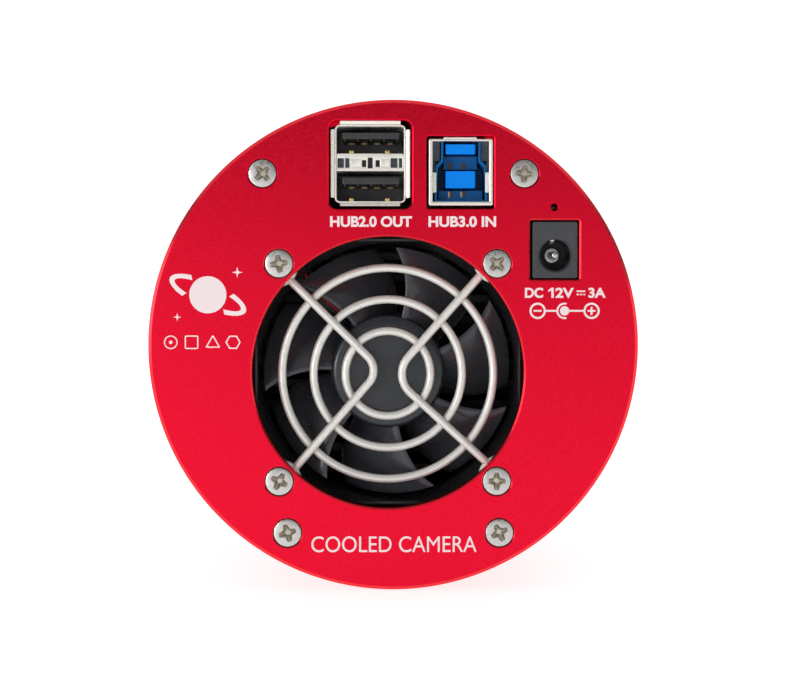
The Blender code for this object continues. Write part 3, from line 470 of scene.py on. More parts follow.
def add_plate(builder, loops, low_y, high_y):
    """A flat plate across y with rounded or bevelled edges.

    loops is a list of (outline, edge, kind): the first is the outside and the others are holes, edge is
    the edge's width, or a (rear, front) pair, and kind is "round" or "flat".
    """
    rims = {0: [], 1: []}
    for number, (outline, edge, kind) in enumerate(loops):
        outward = area(outline) > 0.0
        if outward != (number == 0):
            outline = list(reversed(outline))
        edges = edge if isinstance(edge, tuple) else (edge, edge)
        rows = []
        for side, width in ((0, edges[0]), (1, edges[1])):
            turns = [0.0, 1.0] if kind == "flat" else [step / 4.0 for step in range(5)]
            if width <= 0.0:
                turns = [1.0]
            if side:
                turns = list(reversed(turns))
            for turn in turns:
                if kind == "flat":
                    sideways, depth = width * (1.0 - turn), width * turn
                else:
                    angle = 0.5 * math.pi * turn
                    sideways, depth = width * (1.0 - math.sin(angle)), width * (1.0 - math.cos(angle))
                level = high_y - depth if side else low_y + depth
                rows.append([builder.verts.new((x, level, z)) for x, z in moved_left(outline, sideways)])
        join_rows(builder, rows)
        rims[0].append(rows[0])
        rims[1].append(rows[-1])
    fill_between(builder, rims[0])
    fill_between(builder, rims[1])


def plate(loops, low_y, high_y):
    builder = bmesh.new()
    add_plate(builder, loops, low_y, high_y)
    return builder


def add_block(builder, low_x, high_x, low_y, high_y, low_z, high_z, edge=0.12, corner=None):
    """A box with rounded edges all round."""
    corner = 1.2 * edge if corner is None else corner
    outline = rounded(rectangle(low_x, high_x, low_z, high_z), corner, 3)
    add_plate(builder, [(outline, edge, "round")], low_y, high_y)


def block_piece(name, finish, blocks, edge, slot=None):
    """A piece made of blocks, each given as its low and high x, y and z."""
    builder = bmesh.new()
    for block in blocks:
        add_block(builder, *block, edge)
    return finish_piece(builder, name, finish, BODY, slot=slot)


def add_turned(builder, outline, centre=(0.0, 0.0), steps=FINE):
    """A (radius, y) outline turned about an axis along y; a radius of 0 is a point on the axis."""
    rings = []
    for radius, y in outline:
        if radius < 1e-8:
            rings.append([builder.verts.new((centre[0], y, centre[1]))] * steps)
            continue
        points = circle(radius, centre, steps)
        rings.append([builder.verts.new((x, y, z)) for x, z in points])
    for near, far in zip(rings, rings[1:] + rings[:1]):
        for step in range(steps):
            after = (step + 1) % steps
            corners = []
            for corner in (near[step], near[after], far[after], far[step]):
                if corner not in corners:
                    corners.append(corner)
            if len(corners) > 2:
                builder.faces.new(corners)


def turned(outline, centre=(0.0, 0.0), steps=FINE):
    builder = bmesh.new()
    add_turned(builder, outline, centre, steps)
    return builder


def add_tube(builder, path, radius, sides=16, closed=False):
    """A round wire along a 3-D path."""
    points = [Vector(point) for point in path]
    count = len(points)
    rings = []
    side = None
    for index in range(count):
        before = points[index - 1] if closed or index else points[0]
        after = points[(index + 1) % count] if closed or index < count - 1 else points[-1]
        along = (after - before).normalized()
        if side is None:
            reference = Vector((0.0, 1.0, 0.0)) if abs(along.y) < 0.9 else Vector((1.0, 0.0, 0.0))
            side = along.cross(reference).normalized()
        side = (side - along * side.dot(along)).normalized()
        other = along.cross(side)
        ring = []
        for step in range(sides):
            angle = 2.0 * math.pi * step / sides
            offset = side * (radius * math.cos(angle)) + other * (radius * math.sin(angle))
            ring.append(builder.verts.new(points[index] + offset))
        rings.append(ring)
    join_rows(builder, rings + rings[:1] if closed else rings)
    if not closed:
        builder.faces.new(rings[0])
        builder.faces.new(rings[-1])


def add_loft(builder, sections):
    """A closed solid through several 3-D sections with the same number of points."""
    rows = [[builder.verts.new(point) for point in section] for section in sections]
    join_rows(builder, rows)
    builder.faces.new(rows[0])
    builder.faces.new(rows[-1])


# --- Screws ---------------------------------------------------------------------------------

def cross_outline(half_long, half_tip, half_root, tip_radius, root_radius):
    """A cross recess's outline: four arms that narrow towards their rounded tips."""
    points, radii = [], []
    for quarter in range(4):
        spin = Matrix.Rotation(math.radians(-90.0 * quarter), 2)
        for x, z, radius in ((half_root, half_root, root_radius), (half_long, half_tip, tip_radius),
                             (half_long, -half_tip, tip_radius)):
            flat = spin @ Vector((x, z))
            points.append((flat.x, flat.y))
            radii.append(radius)
    return rounded(points, radii, 4)


def threaded(outline_start, radius, start, end, pitch=0.5, depth=0.22):
    """A turned outline that goes on along a thread's crests and roots from start to end."""
    outline = list(outline_start)
    turns = int(abs(end - start) / pitch)
    step = math.copysign(pitch, end - start)
    for number in range(turns):
        level = start + step * number
        outline += [(radius, level), (radius, level + 0.15 * step), (radius - depth, level + 0.5 * step),
                    (radius - depth, level + 0.6 * step)]
    outline.append((radius - depth, end))
    return outline


def flat_head_mesh(length):
    """A countersunk screw with a cross recess; its face lies at y = 0 and it points along +y."""
    head, shank, rim, height = 2.6, 1.48, 0.25, 1.45
    edge = 0.14
    outline = [(0.0, 0.0), (head - 2.2 * edge, 0.0), (head - 0.8 * edge, 0.35 * edge), (head, 1.6 * edge),
               (head, rim), (shank, height)]
    outline = threaded(outline, shank, height + 0.4, length - 0.6)
    outline += [(0.8, length), (0.0, length)]
    piece = new_object("flat_head", to_mesh(turned(outline, steps=64), "flat_head"))
    tool = bmesh.new()
    sections = []
    steps_down = ((-0.2, 1.72, 0.46, 0.72), (0.0, 1.64, 0.4, 0.66), (0.12, 1.55, 0.34, 0.58),
                  (0.9, 1.05, 0.26, 0.42), (1.35, 0.45, 0.2, 0.26))
    for level, half_long, half_tip, half_root in steps_down:
        flat = cross_outline(half_long, half_tip, half_root, 0.16, 0.12)
        sections.append([(x, level, z) for x, z in flat])
    add_loft(tool, sections)
    cut(piece, tool)
    mesh = piece.data
    mesh.materials.append(MATERIALS["bright_screw"])
    mesh.materials.append(MATERIALS["screw_recess"])
    for face in mesh.polygons:
        centre = face.center / MM
        if math.hypot(centre.x, centre.z) < 1.75 and 0.1 < centre.y < 1.4:
            face.material_index = 1
    bpy.data.objects.remove(piece)
    return mesh


def flat_head_screws():
    for kind, turns in (("cover_screw", (42.0, -5.0, 17.0, 26.0)), ("fan_screw", (9.0, 45.0, 63.0, 0.0))):
        low, high = box(kind + "_1")
        mesh = flat_head_mesh(high.y - low.y)
        for number, turn in enumerate(turns, 1):
            name = "%s_%d" % (kind, number)
            low, high = box(name)
            own = mesh.copy()
            spin = Matrix.Rotation(math.radians(-turn), 4, "Y")
            place = Vector((0.5 * (low.x + high.x), low.y, 0.5 * (low.z + high.z)))
            own.transform(Matrix.Translation(place * MM) @ spin)
            piece = new_object(name + "_detailed", own)
            shade(own, 32.0)
            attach(piece, BODY)
            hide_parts(name)


def socket_screws():
    """Front screws: cap heads that hold the plate back and set screws that push it."""
    for number in range(1, 4):
        name = "pull_screw_%d" % number
        low, high = box(name)
        centre = middle_of(name)
        top, head = high.y, 2.2
        edge = 0.25
        outline = [(0.0, top - 1.3), (1.3, top - 1.3), (1.3, top - 0.1),
                   (1.42, top), (2.75 - edge, top), (2.75, top - edge), (2.75, top - head),
                   (1.48, top - head)]
        outline = threaded(outline, 1.48, top - head - 0.8, low.y + 0.5)
        outline += [(0.9, low.y), (0.0, low.y)]
        piece = finish_piece(turned(outline, centre, 48), name + "_detailed", "dark_screw", BODY, (name,))
        tool = bmesh.new()
        hexagon = polygon(6, 1.44, centre, 15.0)
        add_plate(tool, [(hexagon, 0.0, "flat")], top - 1.25, top + 0.5)
        cut(piece, tool)
        name = "push_screw_%d" % number
        low, high = box(name)
        centre = middle_of(name)
        outline = [(0.0, high.y), (1.25, high.y), (1.48, high.y - 0.25)]
        outline = threaded(outline, 1.48, high.y - 0.4, low.y + 0.9)
        outline += [(0.7, low.y), (0.0, low.y)]
        builder = turned(outline, centre, 40)
        piece = finish_piece(builder, name + "_detailed", "dark_screw", "tilt_plate", (name,))
        tool = bmesh.new()
        hexagon = polygon(6, 0.87, centre)
        add_plate(tool, [(hexagon, 0.0, "flat")], high.y - 1.5, high.y + 0.5)
        cut(piece, tool)


# --- Rear cover and its printing ------------------------------------------------------------

USB_A_OPENING = (-11.85, 3.4, 24.95, 41.2)
USB_B_OPENING = (6.0, 18.45, 25.0, 38.35)
DC_OPENING = (25.05, 34.1, 12.05, 23.0)


def screw_places(kind):
    return [middle_of("%s_%d" % (kind, number)) for number in range(1, 5)]


def rear_cover():
    loops = [(circle(BODY_RADIUS, (0.0, 0.0), 256), (0.62, 0.1), "flat")]
    loops.append((circle(FAN_OPENING, (FAN_X, FAN_Z), 192), (0.3, 0.1), "flat"))
    loops.append((rounded(rectangle(*USB_A_OPENING), 1.5, 10), (0.24, 0.1), "flat"))
    loops.append((rounded(rectangle(*USB_B_OPENING), 0.45, 6), (0.2, 0.1), "flat"))
    loops.append((rounded(rectangle(*DC_OPENING), 0.35, 6), (0.3, 0.1), "flat"))
    loops.append((circle(0.68, middle_of("indicator_led"), 32), (0.12, 0.05), "flat"))
    for place in screw_places("cover_screw") + screw_places("fan_screw"):
        loops.append((circle(2.7, place, 56), (0.16, 0.05), "flat"))
    cover = finish_piece(plate(loops, FACE, cover_high.y), "rear_cover_detailed", "red_anodised", BODY,
                         ("rear_cover",))
    # The chamfers that slant towards the rear get the lighter red, a painted highlight along the edges; the
    # rims round the sockets keep the plain red.
    cover.data.materials.append(MATERIALS["red_painted_edge_highlight"])
    for face in cover.data.polygons:
        middle = face.center / MM
        near_sockets = middle.z > 24.0 and math.hypot(middle.x, middle.z) < 43.0
        if -0.95 < face.normal.y < -0.3 and not near_sockets:
            face.material_index = 1


def printed(builder, name):
    finish_piece(builder, name, "white_print")


def add_text(builder, words, low_x, high_x, low_z, high_z, weight):
    """Filled letters fitted into a rectangle of the rear face."""
    curve = bpy.data.curves.new("letters", "FONT")
    curve.body = words
    curve.size = 1.0
    curve.offset = weight * 0.5
    curve.resolution_u = 6
    holder = new_object("letters", curve)
    bpy.context.view_layer.update()
    evaluated = holder.evaluated_get(bpy.context.evaluated_depsgraph_get())
    flat = bpy.data.meshes.new_from_object(evaluated)
    bpy.data.objects.remove(holder)
    letters = bmesh.new()
    letters.from_mesh(flat)
    bmesh.ops.remove_doubles(letters, verts=letters.verts, dist=1e-5)
    xs = [vert.co.x for vert in letters.verts]
    ys = [vert.co.y for vert in letters.verts]
    scale_x = (high_x - low_x) / (max(xs) - min(xs))
    scale_z = (high_z - low_z) / (max(ys) - min(ys))
    left, bottom = min(xs), min(ys)
    for vert in letters.verts:
        vert.co = Vector((low_x + (vert.co.x - left) * scale_x, REAR,
                          low_z + (vert.co.y - bottom) * scale_z))
    result = bmesh.ops.extrude_face_region(letters, geom=list(letters.faces))
    for item in result["geom"]:
        if isinstance(item, bmesh.types.BMVert):
            item.co.y = REAR + 2.0 * PRINT_DEPTH
    joined = bpy.data.meshes.new("joined")
    letters.to_mesh(joined)
    letters.free()
    builder.from_mesh(joined)


def add_mark(builder, loops):
    """A printed shape: an outline and its holes."""
    add_plate(builder, [(loop, 0.0, "flat") for loop in loops], REAR, REAR + 2.0 * PRINT_DEPTH)


def add_ring_mark(builder, centre, outer, inner, start=0.0, end=360.0, steps=48):
    if end - start >= 359.9:
        add_mark(builder, [circle(outer, centre, steps), circle(inner, centre, steps)])
        return
    arc = []
    for radius, order in ((outer, 1), (inner, -1)):
        points = [polar(radius, start + (end - start) * step / steps) for step in range(steps + 1)]
        arc += [(centre[0] + x, centre[1] + z) for x, z in points[::order]]
    add_mark(builder, [arc])


def bar(x, z, half_x, half_z):
    return rectangle(x - half_x, x + half_x, z - half_z, z + half_z)


def power_label():
    builder = bmesh.new()
    level = 9.65
    low_z, high_z = 8.72, 10.6
    add_text(builder, "DC", 24.1, 27.45, low_z, high_z, 0.07)
    add_mark(builder, [[(28.95, low_z), (29.4, low_z), (29.4, high_z), (29.05, high_z),
                        (28.4, high_z - 0.38), (28.4, high_z - 0.78),
                        (28.95, high_z - 0.5)]])
    add_text(builder, "2V", 29.7, 33.1, low_z, high_z, 0.07)
    add_mark(builder, [bar(34.4, level + 0.3, 0.8, 0.14)])
    for step in (-1, 0, 1):
        add_mark(builder, [bar(34.4 + step * 0.58, level - 0.3, 0.2, 0.13)])
    add_text(builder, "3A", 35.75, 38.95, low_z, high_z, 0.07)
    printed(builder, "power_label")
    builder = bmesh.new()
    level, line = 6.35, 0.17
    minus, middle, plus = 26.45, 31.4, 36.35
    add_ring_mark(builder, (minus, level), 1.5, 1.12)
    add_ring_mark(builder, (plus, level), 1.5, 1.12)
    add_mark(builder, [circle(0.85, (middle, level), 32)])
    add_ring_mark(builder, (middle, level), 1.5, 1.16, 75.0, 285.0, 32)
    add_mark(builder, [bar(minus, level, 0.72, line)])
    add_mark(builder, [bar(plus, level, 0.72, line)])
    for side in (-1.0, 1.0):
        add_mark(builder, [bar(plus, level + side * 0.46, line, 0.28)])
    add_mark(builder, [rectangle(minus + 1.5, middle - 1.5, level - line, level + line)])
    add_mark(builder, [rectangle(middle + 0.86, plus - 1.5, level - line, level + line)])
    printed(builder, "polarity_mark")


def port_labels():
    builder = bmesh.new()
    add_text(builder, "HUB2.0 OUT", -11.6, 3.4, 21.7, 23.7, 0.07)
    printed(builder, "output_label")
    builder = bmesh.new()
    add_text(builder, "HUB3.0 IN", 6.4, 18.8, 21.7, 23.7, 0.07)
    printed(builder, "input_label")
    builder = bmesh.new()
    add_text(builder, "COOLED CAMERA", -15.1, 15.3, -38.05, -35.1, 0.0)
    printed(builder, "model_label")


def emblem():
    """A made-up mark: a ringed planet with two small stars."""
    builder = bmesh.new()
    centre = Vector((-34.0, 9.3))
    add_mark(builder, [circle(3.4, centre, 64)])
    tilt = Matrix.Rotation(math.radians(-24.0), 2)
    edges = []
    for half_long, half_short in ((7.6, 2.5), (6.6, 1.55)):
        loop = []
        for step in range(96):
            angle = 2.0 * math.pi * step / 96
            flat = tilt @ Vector((half_long * math.cos(angle), half_short * math.sin(angle)))
            loop.append((centre.x + flat.x, centre.y + flat.y))
        edges.append(loop)
    outside = [pair for pair in zip(*edges) if (Vector(pair[1]) - centre).length > 3.85]
    groups = []
    for pair in outside:
        if groups and (Vector(pair[0]) - Vector(groups[-1][-1][0])).length < 1.5:
            groups[-1].append(pair)
        else:
            groups.append([pair])
    if len(groups) > 2:
        groups[0] = groups.pop() + groups[0]
    for group in groups:
        add_mark(builder, [[pair[0] for pair in group] + [pair[1] for pair in reversed(group)]])
    for x, z, size in ((-28.6, 13.4, 1.0), (-39.6, 5.2, 0.75)):
        star = []
        for step in range(8):
            reach = size if step % 2 == 0 else 0.28 * size
            point = polar(reach, 90.0 + 45.0 * step)
            star.append((x + point[0], z + point[1]))
        add_mark(builder, [star])
    printed(builder, "emblem")
    builder = bmesh.new()
    level = 0.6
    places = [(x, level) for x in (-40.8, -37.0, -33.1, -29.4)]
    size = 1.25
    add_ring_mark(builder, places[0], size, 0.84 * size)
    add_mark(builder, [circle(0.26 * size, places[0], 24)])
    outer = rounded(bar(*places[1], size, size), 0.3, 4)
    inner = rounded(bar(*places[1], 0.82 * size, 0.82 * size), 0.15, 4)
    add_mark(builder, [outer, inner])
    middle = (places[2][0], places[2][1] - 0.15 * size)
    triangle = polygon(3, 1.3 * size, middle, 90.0)
    hollow = polygon(3, 0.94 * size, middle, 90.0)
    add_mark(builder, [rounded(triangle, 0.15, 3), rounded(hollow, 0.08, 3)])
    hexagon = polygon(6, 1.12 * size, places[3])
    core = polygon(6, 0.9 * size, places[3])
    add_mark(builder, [hexagon, core])
    printed(builder, "plain_marks")


# --- Finger guard ---------------------------------------------------------------------------

GUARD_LOW, GUARD_HIGH = box("fan_grille")
WIRE = 0.765
LEG_Y = GUARD_LOW.y + WIRE
RING_Y = GUARD_HIGH.y - WIRE


LEG_WIRES = (
    ((-17.05, 15.95), (-1.36, 0.48), (-15.8, -16.2), 3.5),
    ((16.1, 16.7), (0.71, -0.71), (17.0, -15.6), 4.7),
)


def leg_path(upper, corner, lower, bend_radius):
    """A bent wire of the guard: two straight legs that meet in a round bend near the middle."""
    corner = Vector(corner)
    ends = []
    for point in (upper, lower):
        along = Vector(point) - corner
        ends.append(corner + along.normalized() * 25.8)
    half_turn = 0.5 * (ends[0] - corner).angle(ends[1] - corner)
    middle = corner + ((ends[0] - corner).normalized() + (ends[1] - corner).normalized()).normalized() * (
        bend_radius / math.sin(half_turn))
    tangents = [corner + (end - corner).normalized() * (bend_radius / math.tan(half_turn)) for end in ends]
    start = tangents[0] - middle
    sweep = start.angle_signed(tangents[1] - middle)
    bend = [middle + Matrix.Rotation(-sweep * step / 16, 2) @ start for step in range(17)]
    path = [ends[0].lerp(tangents[0], share) for share in (0.0, 0.3, 0.6, 0.95)]
    path += bend
    path += [tangents[1].lerp(ends[1], share) for share in (0.05, 0.4, 0.7, 1.0)]
    return [(FAN_X + point.x, LEG_Y, FAN_Z + point.y) for point in path]


def finger_guard():
    builder = bmesh.new()
    centre = (FAN_X, FAN_Z - 0.35)
    for radius in (7.9, 13.8, 19.65):
        path = [(x, RING_Y, z) for x, z in circle(radius, centre, 144)]
        add_tube(builder, path, WIRE, 20, closed=True)
    piece = finish_piece(builder, "finger_guard", "nickel_wire", BODY, ("fan_grille",), sharp=60.0)
    for upper, corner, lower, bend_radius in LEG_WIRES:
        tool = bmesh.new()
        add_tube(tool, leg_path(upper, corner, lower, bend_radius), WIRE, 20)
        cut(piece, tool, "UNION", 60.0)
        for end in (upper, lower):
            turn = math.atan2(end[1], end[0])
            place = Vector((28.3 * math.cos(turn) + FAN_X, 28.3 * math.sin(turn) + FAN_Z))
            nearest = min(screw_places("fan_screw"), key=lambda screw: (Vector(screw) - place).length)
            place = Vector(nearest).lerp(place, 0.75)
            tool = bmesh.new()
            path = [(x, LEG_Y + 0.02, z) for x, z in circle(3.1, place, 48)]
            add_tube(tool, path, WIRE * 0.97, 16, closed=True)
            cut(piece, tool, "UNION", 60.0)


# --- Fan ------------------------------------------------------------------------------------

def fan_frame():
    centre = (FAN_X, FAN_Z)
    half = 0.5 * (fan_high.x - fan_low.x)
    rear, front = fan_low.y, fan_high.y
    outside = rounded(rectangle(FAN_X - half, FAN_X + half, FAN_Z - half, FAN_Z + half), 3.2, 8)
    flare = []
    for step in range(192):
        x, z = polar(25.4, 360.0 * step / 192)
        limit = 24.25
        flare.append((FAN_X + max(-limit, min(limit, x)), FAN_Z + max(-limit, min(limit, z))))
    bore = circle(24.0, centre, 192)
    builder = bmesh.new()
    rows = []
    for loop, level in ((flare, rear), (flare, rear + 0.9), (bore, rear + 3.6), (bore, front - 2.6),
                        (flare, front - 0.6), (flare, front)):
        rows.append([builder.verts.new((x, level, z)) for x, z in loop])
    join_rows(builder, rows)
    edge = 0.35
    outer_rows = []
    for inset, level in ((edge, rear), (0.0, rear + edge), (0.0, front - edge), (edge, front)):
        outer_rows.append([builder.verts.new((x, level, z)) for x, z in moved_left(outside, inset)])
    join_rows(builder, outer_rows)
    fill_between(builder, (rows[0], outer_rows[0]))
    fill_between(builder, (rows[-1], outer_rows[-1]))
    # The frame takes the darker copy of the fan plastic: painted shade.
    piece = finish_piece(builder, "fan_frame_detailed", "frame_plastic_painted_shade", BODY, ("fan_frame",),
                         "black_plastic")
    holes = bmesh.new()
    for place in screw_places("fan_screw"):
        add_turned(holes, [(0.0, rear - 1.0), (2.15, rear - 1.0), (2.15, front + 1.0), (0.0, front + 1.0)],
                   place, 32)
    cut(piece, holes)
    lead_low = box("fan_lead")[0]
    notch = bmesh.new()
    add_plate(notch, [(rectangle(lead_low.x - 0.5, lead_low.x + 1.8, FAN_Z + 16.5, FAN_Z + 26.0),
                       0.0, "flat")], lead_low.y - 0.4, front + 1.0)
    cut(piece, notch)


def motor_mount():
    """The frame's four struts and the round plate that carries the motor."""
    centre = (FAN_X, FAN_Z)
    front = fan_high.y
    outline = rounded([(3.3, front - 11.0), (4.0, front - 11.0), (4.0, front - 1.8),
                       (11.2, front - 1.8), (11.2, front), (3.3, front)], 0.15, 3)
    builder = turned(outline, centre, 96)
    # The mount and the struts take the darker copy of the fan plastic: painted shade.
    finish_piece(builder, "fan_motor_mount", "frame_plastic_painted_shade", BODY, slot="black_plastic")
    builder = bmesh.new()
    for quarter in range(4):
        spin = Matrix.Rotation(math.radians(45.0 + 90.0 * quarter), 2)
        corners = [spin @ Vector(point) for point in rectangle(10.6, 24.6, -1.1, 1.1)]
        outline = [(FAN_X + point.x, FAN_Z + point.y) for point in corners]
        add_plate(builder, [(rounded(outline, 0.2, 3), 0.3, "round")], front - 1.7, front - 0.1)
    finish_piece(builder, "fan_struts", "frame_plastic_painted_shade", BODY, slot="black_plastic")


BLADES = 7
HUB_RADIUS = 10.6
BLADE_TIP = 23.15
BLADE_REAR = rotor_low.y + 0.7


def blade_middle(radius, share):
    """The middle surface of a blade at a radius and a share of its chord."""
    reach = max(0.0, (radius - HUB_RADIUS) / (BLADE_TIP - HUB_RADIUS))
    degrees = 75.5 + 10.8 * reach ** 1.8 - (47.0 - 5.0 * reach) * share
    x, z = polar(radius, degrees)
    return Vector((x, BLADE_REAR + 8.6 * share ** 1.25, z))


def add_blade(builder, number):
    rows, columns = 24, 28
    spin = Matrix.Rotation(math.radians(-360.0 * number / BLADES), 3, "Y")
    shift = Vector((FAN_X, 0.0, FAN_Z))
    start = HUB_RADIUS - 0.35
    sections = []
    for row in range(rows + 1):
        radius = start + (BLADE_TIP - start) * row / rows
        ring = []
        for face in (-1.0, 1.0):
            line = []
            for column in range(columns + 1):
                share = column / columns
                middle = blade_middle(radius, share)
                after = blade_middle(radius, min(share + 0.01, 1.01))
                along = after - blade_middle(radius, max(share - 0.01, 0.0))
                outward = Vector((middle.x, 0.0, middle.z)).normalized()
                normal = along.cross(outward).normalized()
                edge = min(share, 1.0 - share)
                half = (0.5 - 0.12 * row / rows) * min(1.0, math.sqrt(edge * 16.0 + 0.02))
                if row == rows:
                    half *= 0.8
                line.append(spin @ (middle + normal * half * face) + shift)
            ring += line if face < 0 else line[::-1]
        sections.append(ring)
    add_loft(builder, sections)


def fan_rotor():
    centre = (FAN_X, FAN_Z)
    rear, front = rotor_low.y, rotor_high.y
    outline = [(0.0, rear), (8.8, rear), (9.0, rear + 0.04)]
    round_edge = 1.1
    for step in range(9):
        angle = 0.5 * math.pi * step / 8
        outline.append((HUB_RADIUS - round_edge + round_edge * math.sin(angle),
                        rear + 0.06 + round_edge * (1.0 - math.cos(angle))))
    outline += [(HUB_RADIUS, front - 0.15), (HUB_RADIUS - 0.15, front), (9.6, front),
                (9.6, rear + 1.2), (0.0, rear + 1.2)]
    piece = finish_piece(turned(outline, centre, 144), "fan_rotor_detailed", "fan_plastic", "fan_rotor",
                         ("fan_rotor",), "black_plastic")
    for number in range(BLADES):
        tool = bmesh.new()
        add_blade(tool, number)
        cut(piece, tool, "UNION", 40.0)
    marks = bmesh.new()
    for x, z, outer, inner in ((3.0, 3.4, 1.35, 1.15), (0.3, -3.0, 1.0, 0.82), (-3.4, 1.0, 0.8, 0.66)):
        place = (FAN_X + x, FAN_Z + z)
        add_turned(marks, [(inner, rear - 0.1), (outer, rear - 0.1),
                           (outer, rear + 0.06), (inner, rear + 0.06)], place, 48)
    cut(piece, marks, "DIFFERENCE", 40.0)
    # The blades take the lighter copy of the rotor plastic, which paints a sheen on them.
    piece.data.materials.append(MATERIALS["blade_plastic_painted_sheen"])
    for face in piece.data.polygons:
        middle = face.center / MM
        if math.hypot(middle.x - FAN_X, middle.z - FAN_Z) > HUB_RADIUS + 0.05:
            face.material_index = 1


def fan_leads():
    """Two thin insulated wires from the motor, beside a strut, up to the board."""
    low, high = box("fan_lead")
    level = 0.5 * (low.y + high.y)
    start = (FAN_X - 8.1, FAN_Z + 10.6)
    lead_x = low.x + 0.62
    for number, (side, finish) in enumerate(((-1.0, "lead_jacket"), (1.0, "black_jacket"))):
        shift = side * 0.42
        path = [start, (start[0] - 3.6, start[1] + 3.25), (lead_x + 0.9, FAN_Z + 17.2),
                (lead_x, FAN_Z + 19.2), (lead_x, FAN_Z + 22.0), (lead_x, high.z)]
        smooth = []
        for index in range(len(path) - 1):
            before = Vector(path[max(index - 1, 0)])
            here, after = Vector(path[index]), Vector(path[index + 1])
            beyond = Vector(path[min(index + 2, len(path) - 1)])
            for step in range(6):
                t = step / 6.0
                point = 0.5 * ((2.0 * here) + (after - before) * t
                               + (2.0 * before - 5.0 * here + 4.0 * after - beyond) * t * t
                               + (3.0 * here - before - 3.0 * after + beyond) * t ** 3)
                smooth.append((point.x + shift, level, point.y + 0.6 * shift))
        smooth.append((path[-1][0] + shift, level, path[-1][1]))
        builder = bmesh.new()
        add_tube(builder, smooth, 0.4, 14)
        name = "fan_lead_red" if number == 0 else "fan_lead_black"
        finish_piece(builder, name, finish, BODY, ("fan_lead",) if number == 0 else ())


# --- Sockets --------------------------------------------------------------------------------

def add_frame_tube(builder, outer, inner, low_y, high_y, edge=0.08):
    """A rectangular tube of thin sheet, open at both ends."""
    add_plate(builder, [(outer, edge, "round"), (inner, edge, "round")], low_y, high_y)


def add_lip(builder, start, end, outward, wide, front, depth):
    """A flared lip of thin sheet along one side of a socket, from start to end."""
    start, end, outward = Vector(start), Vector(end), Vector(outward)
    thick = 0.28
    profile = [(0.0, depth), (0.0, 0.55), (0.12, 0.2), (0.4, 0.02), (wide - 0.1, 0.0),
               (wide, 0.08), (wide, thick - 0.05), (wide - 0.06, thick), (0.45, thick + 0.05),
               (0.34, 0.45), (thick, 0.62), (thick, depth)]
    sections = []
    for share in (0.0, 0.012, 0.988, 1.0):
        middle = start.lerp(end, share)
        shrink = 0.06 if share in (0.0, 1.0) else 0.0
        section = []
        for across, along in profile:
            flat = middle + outward * (across - (shrink if across > 0.5 * wide else 0.0))
            section.append((flat.x, front + along, flat.y))
        sections.append(section)
    add_loft(builder, sections)


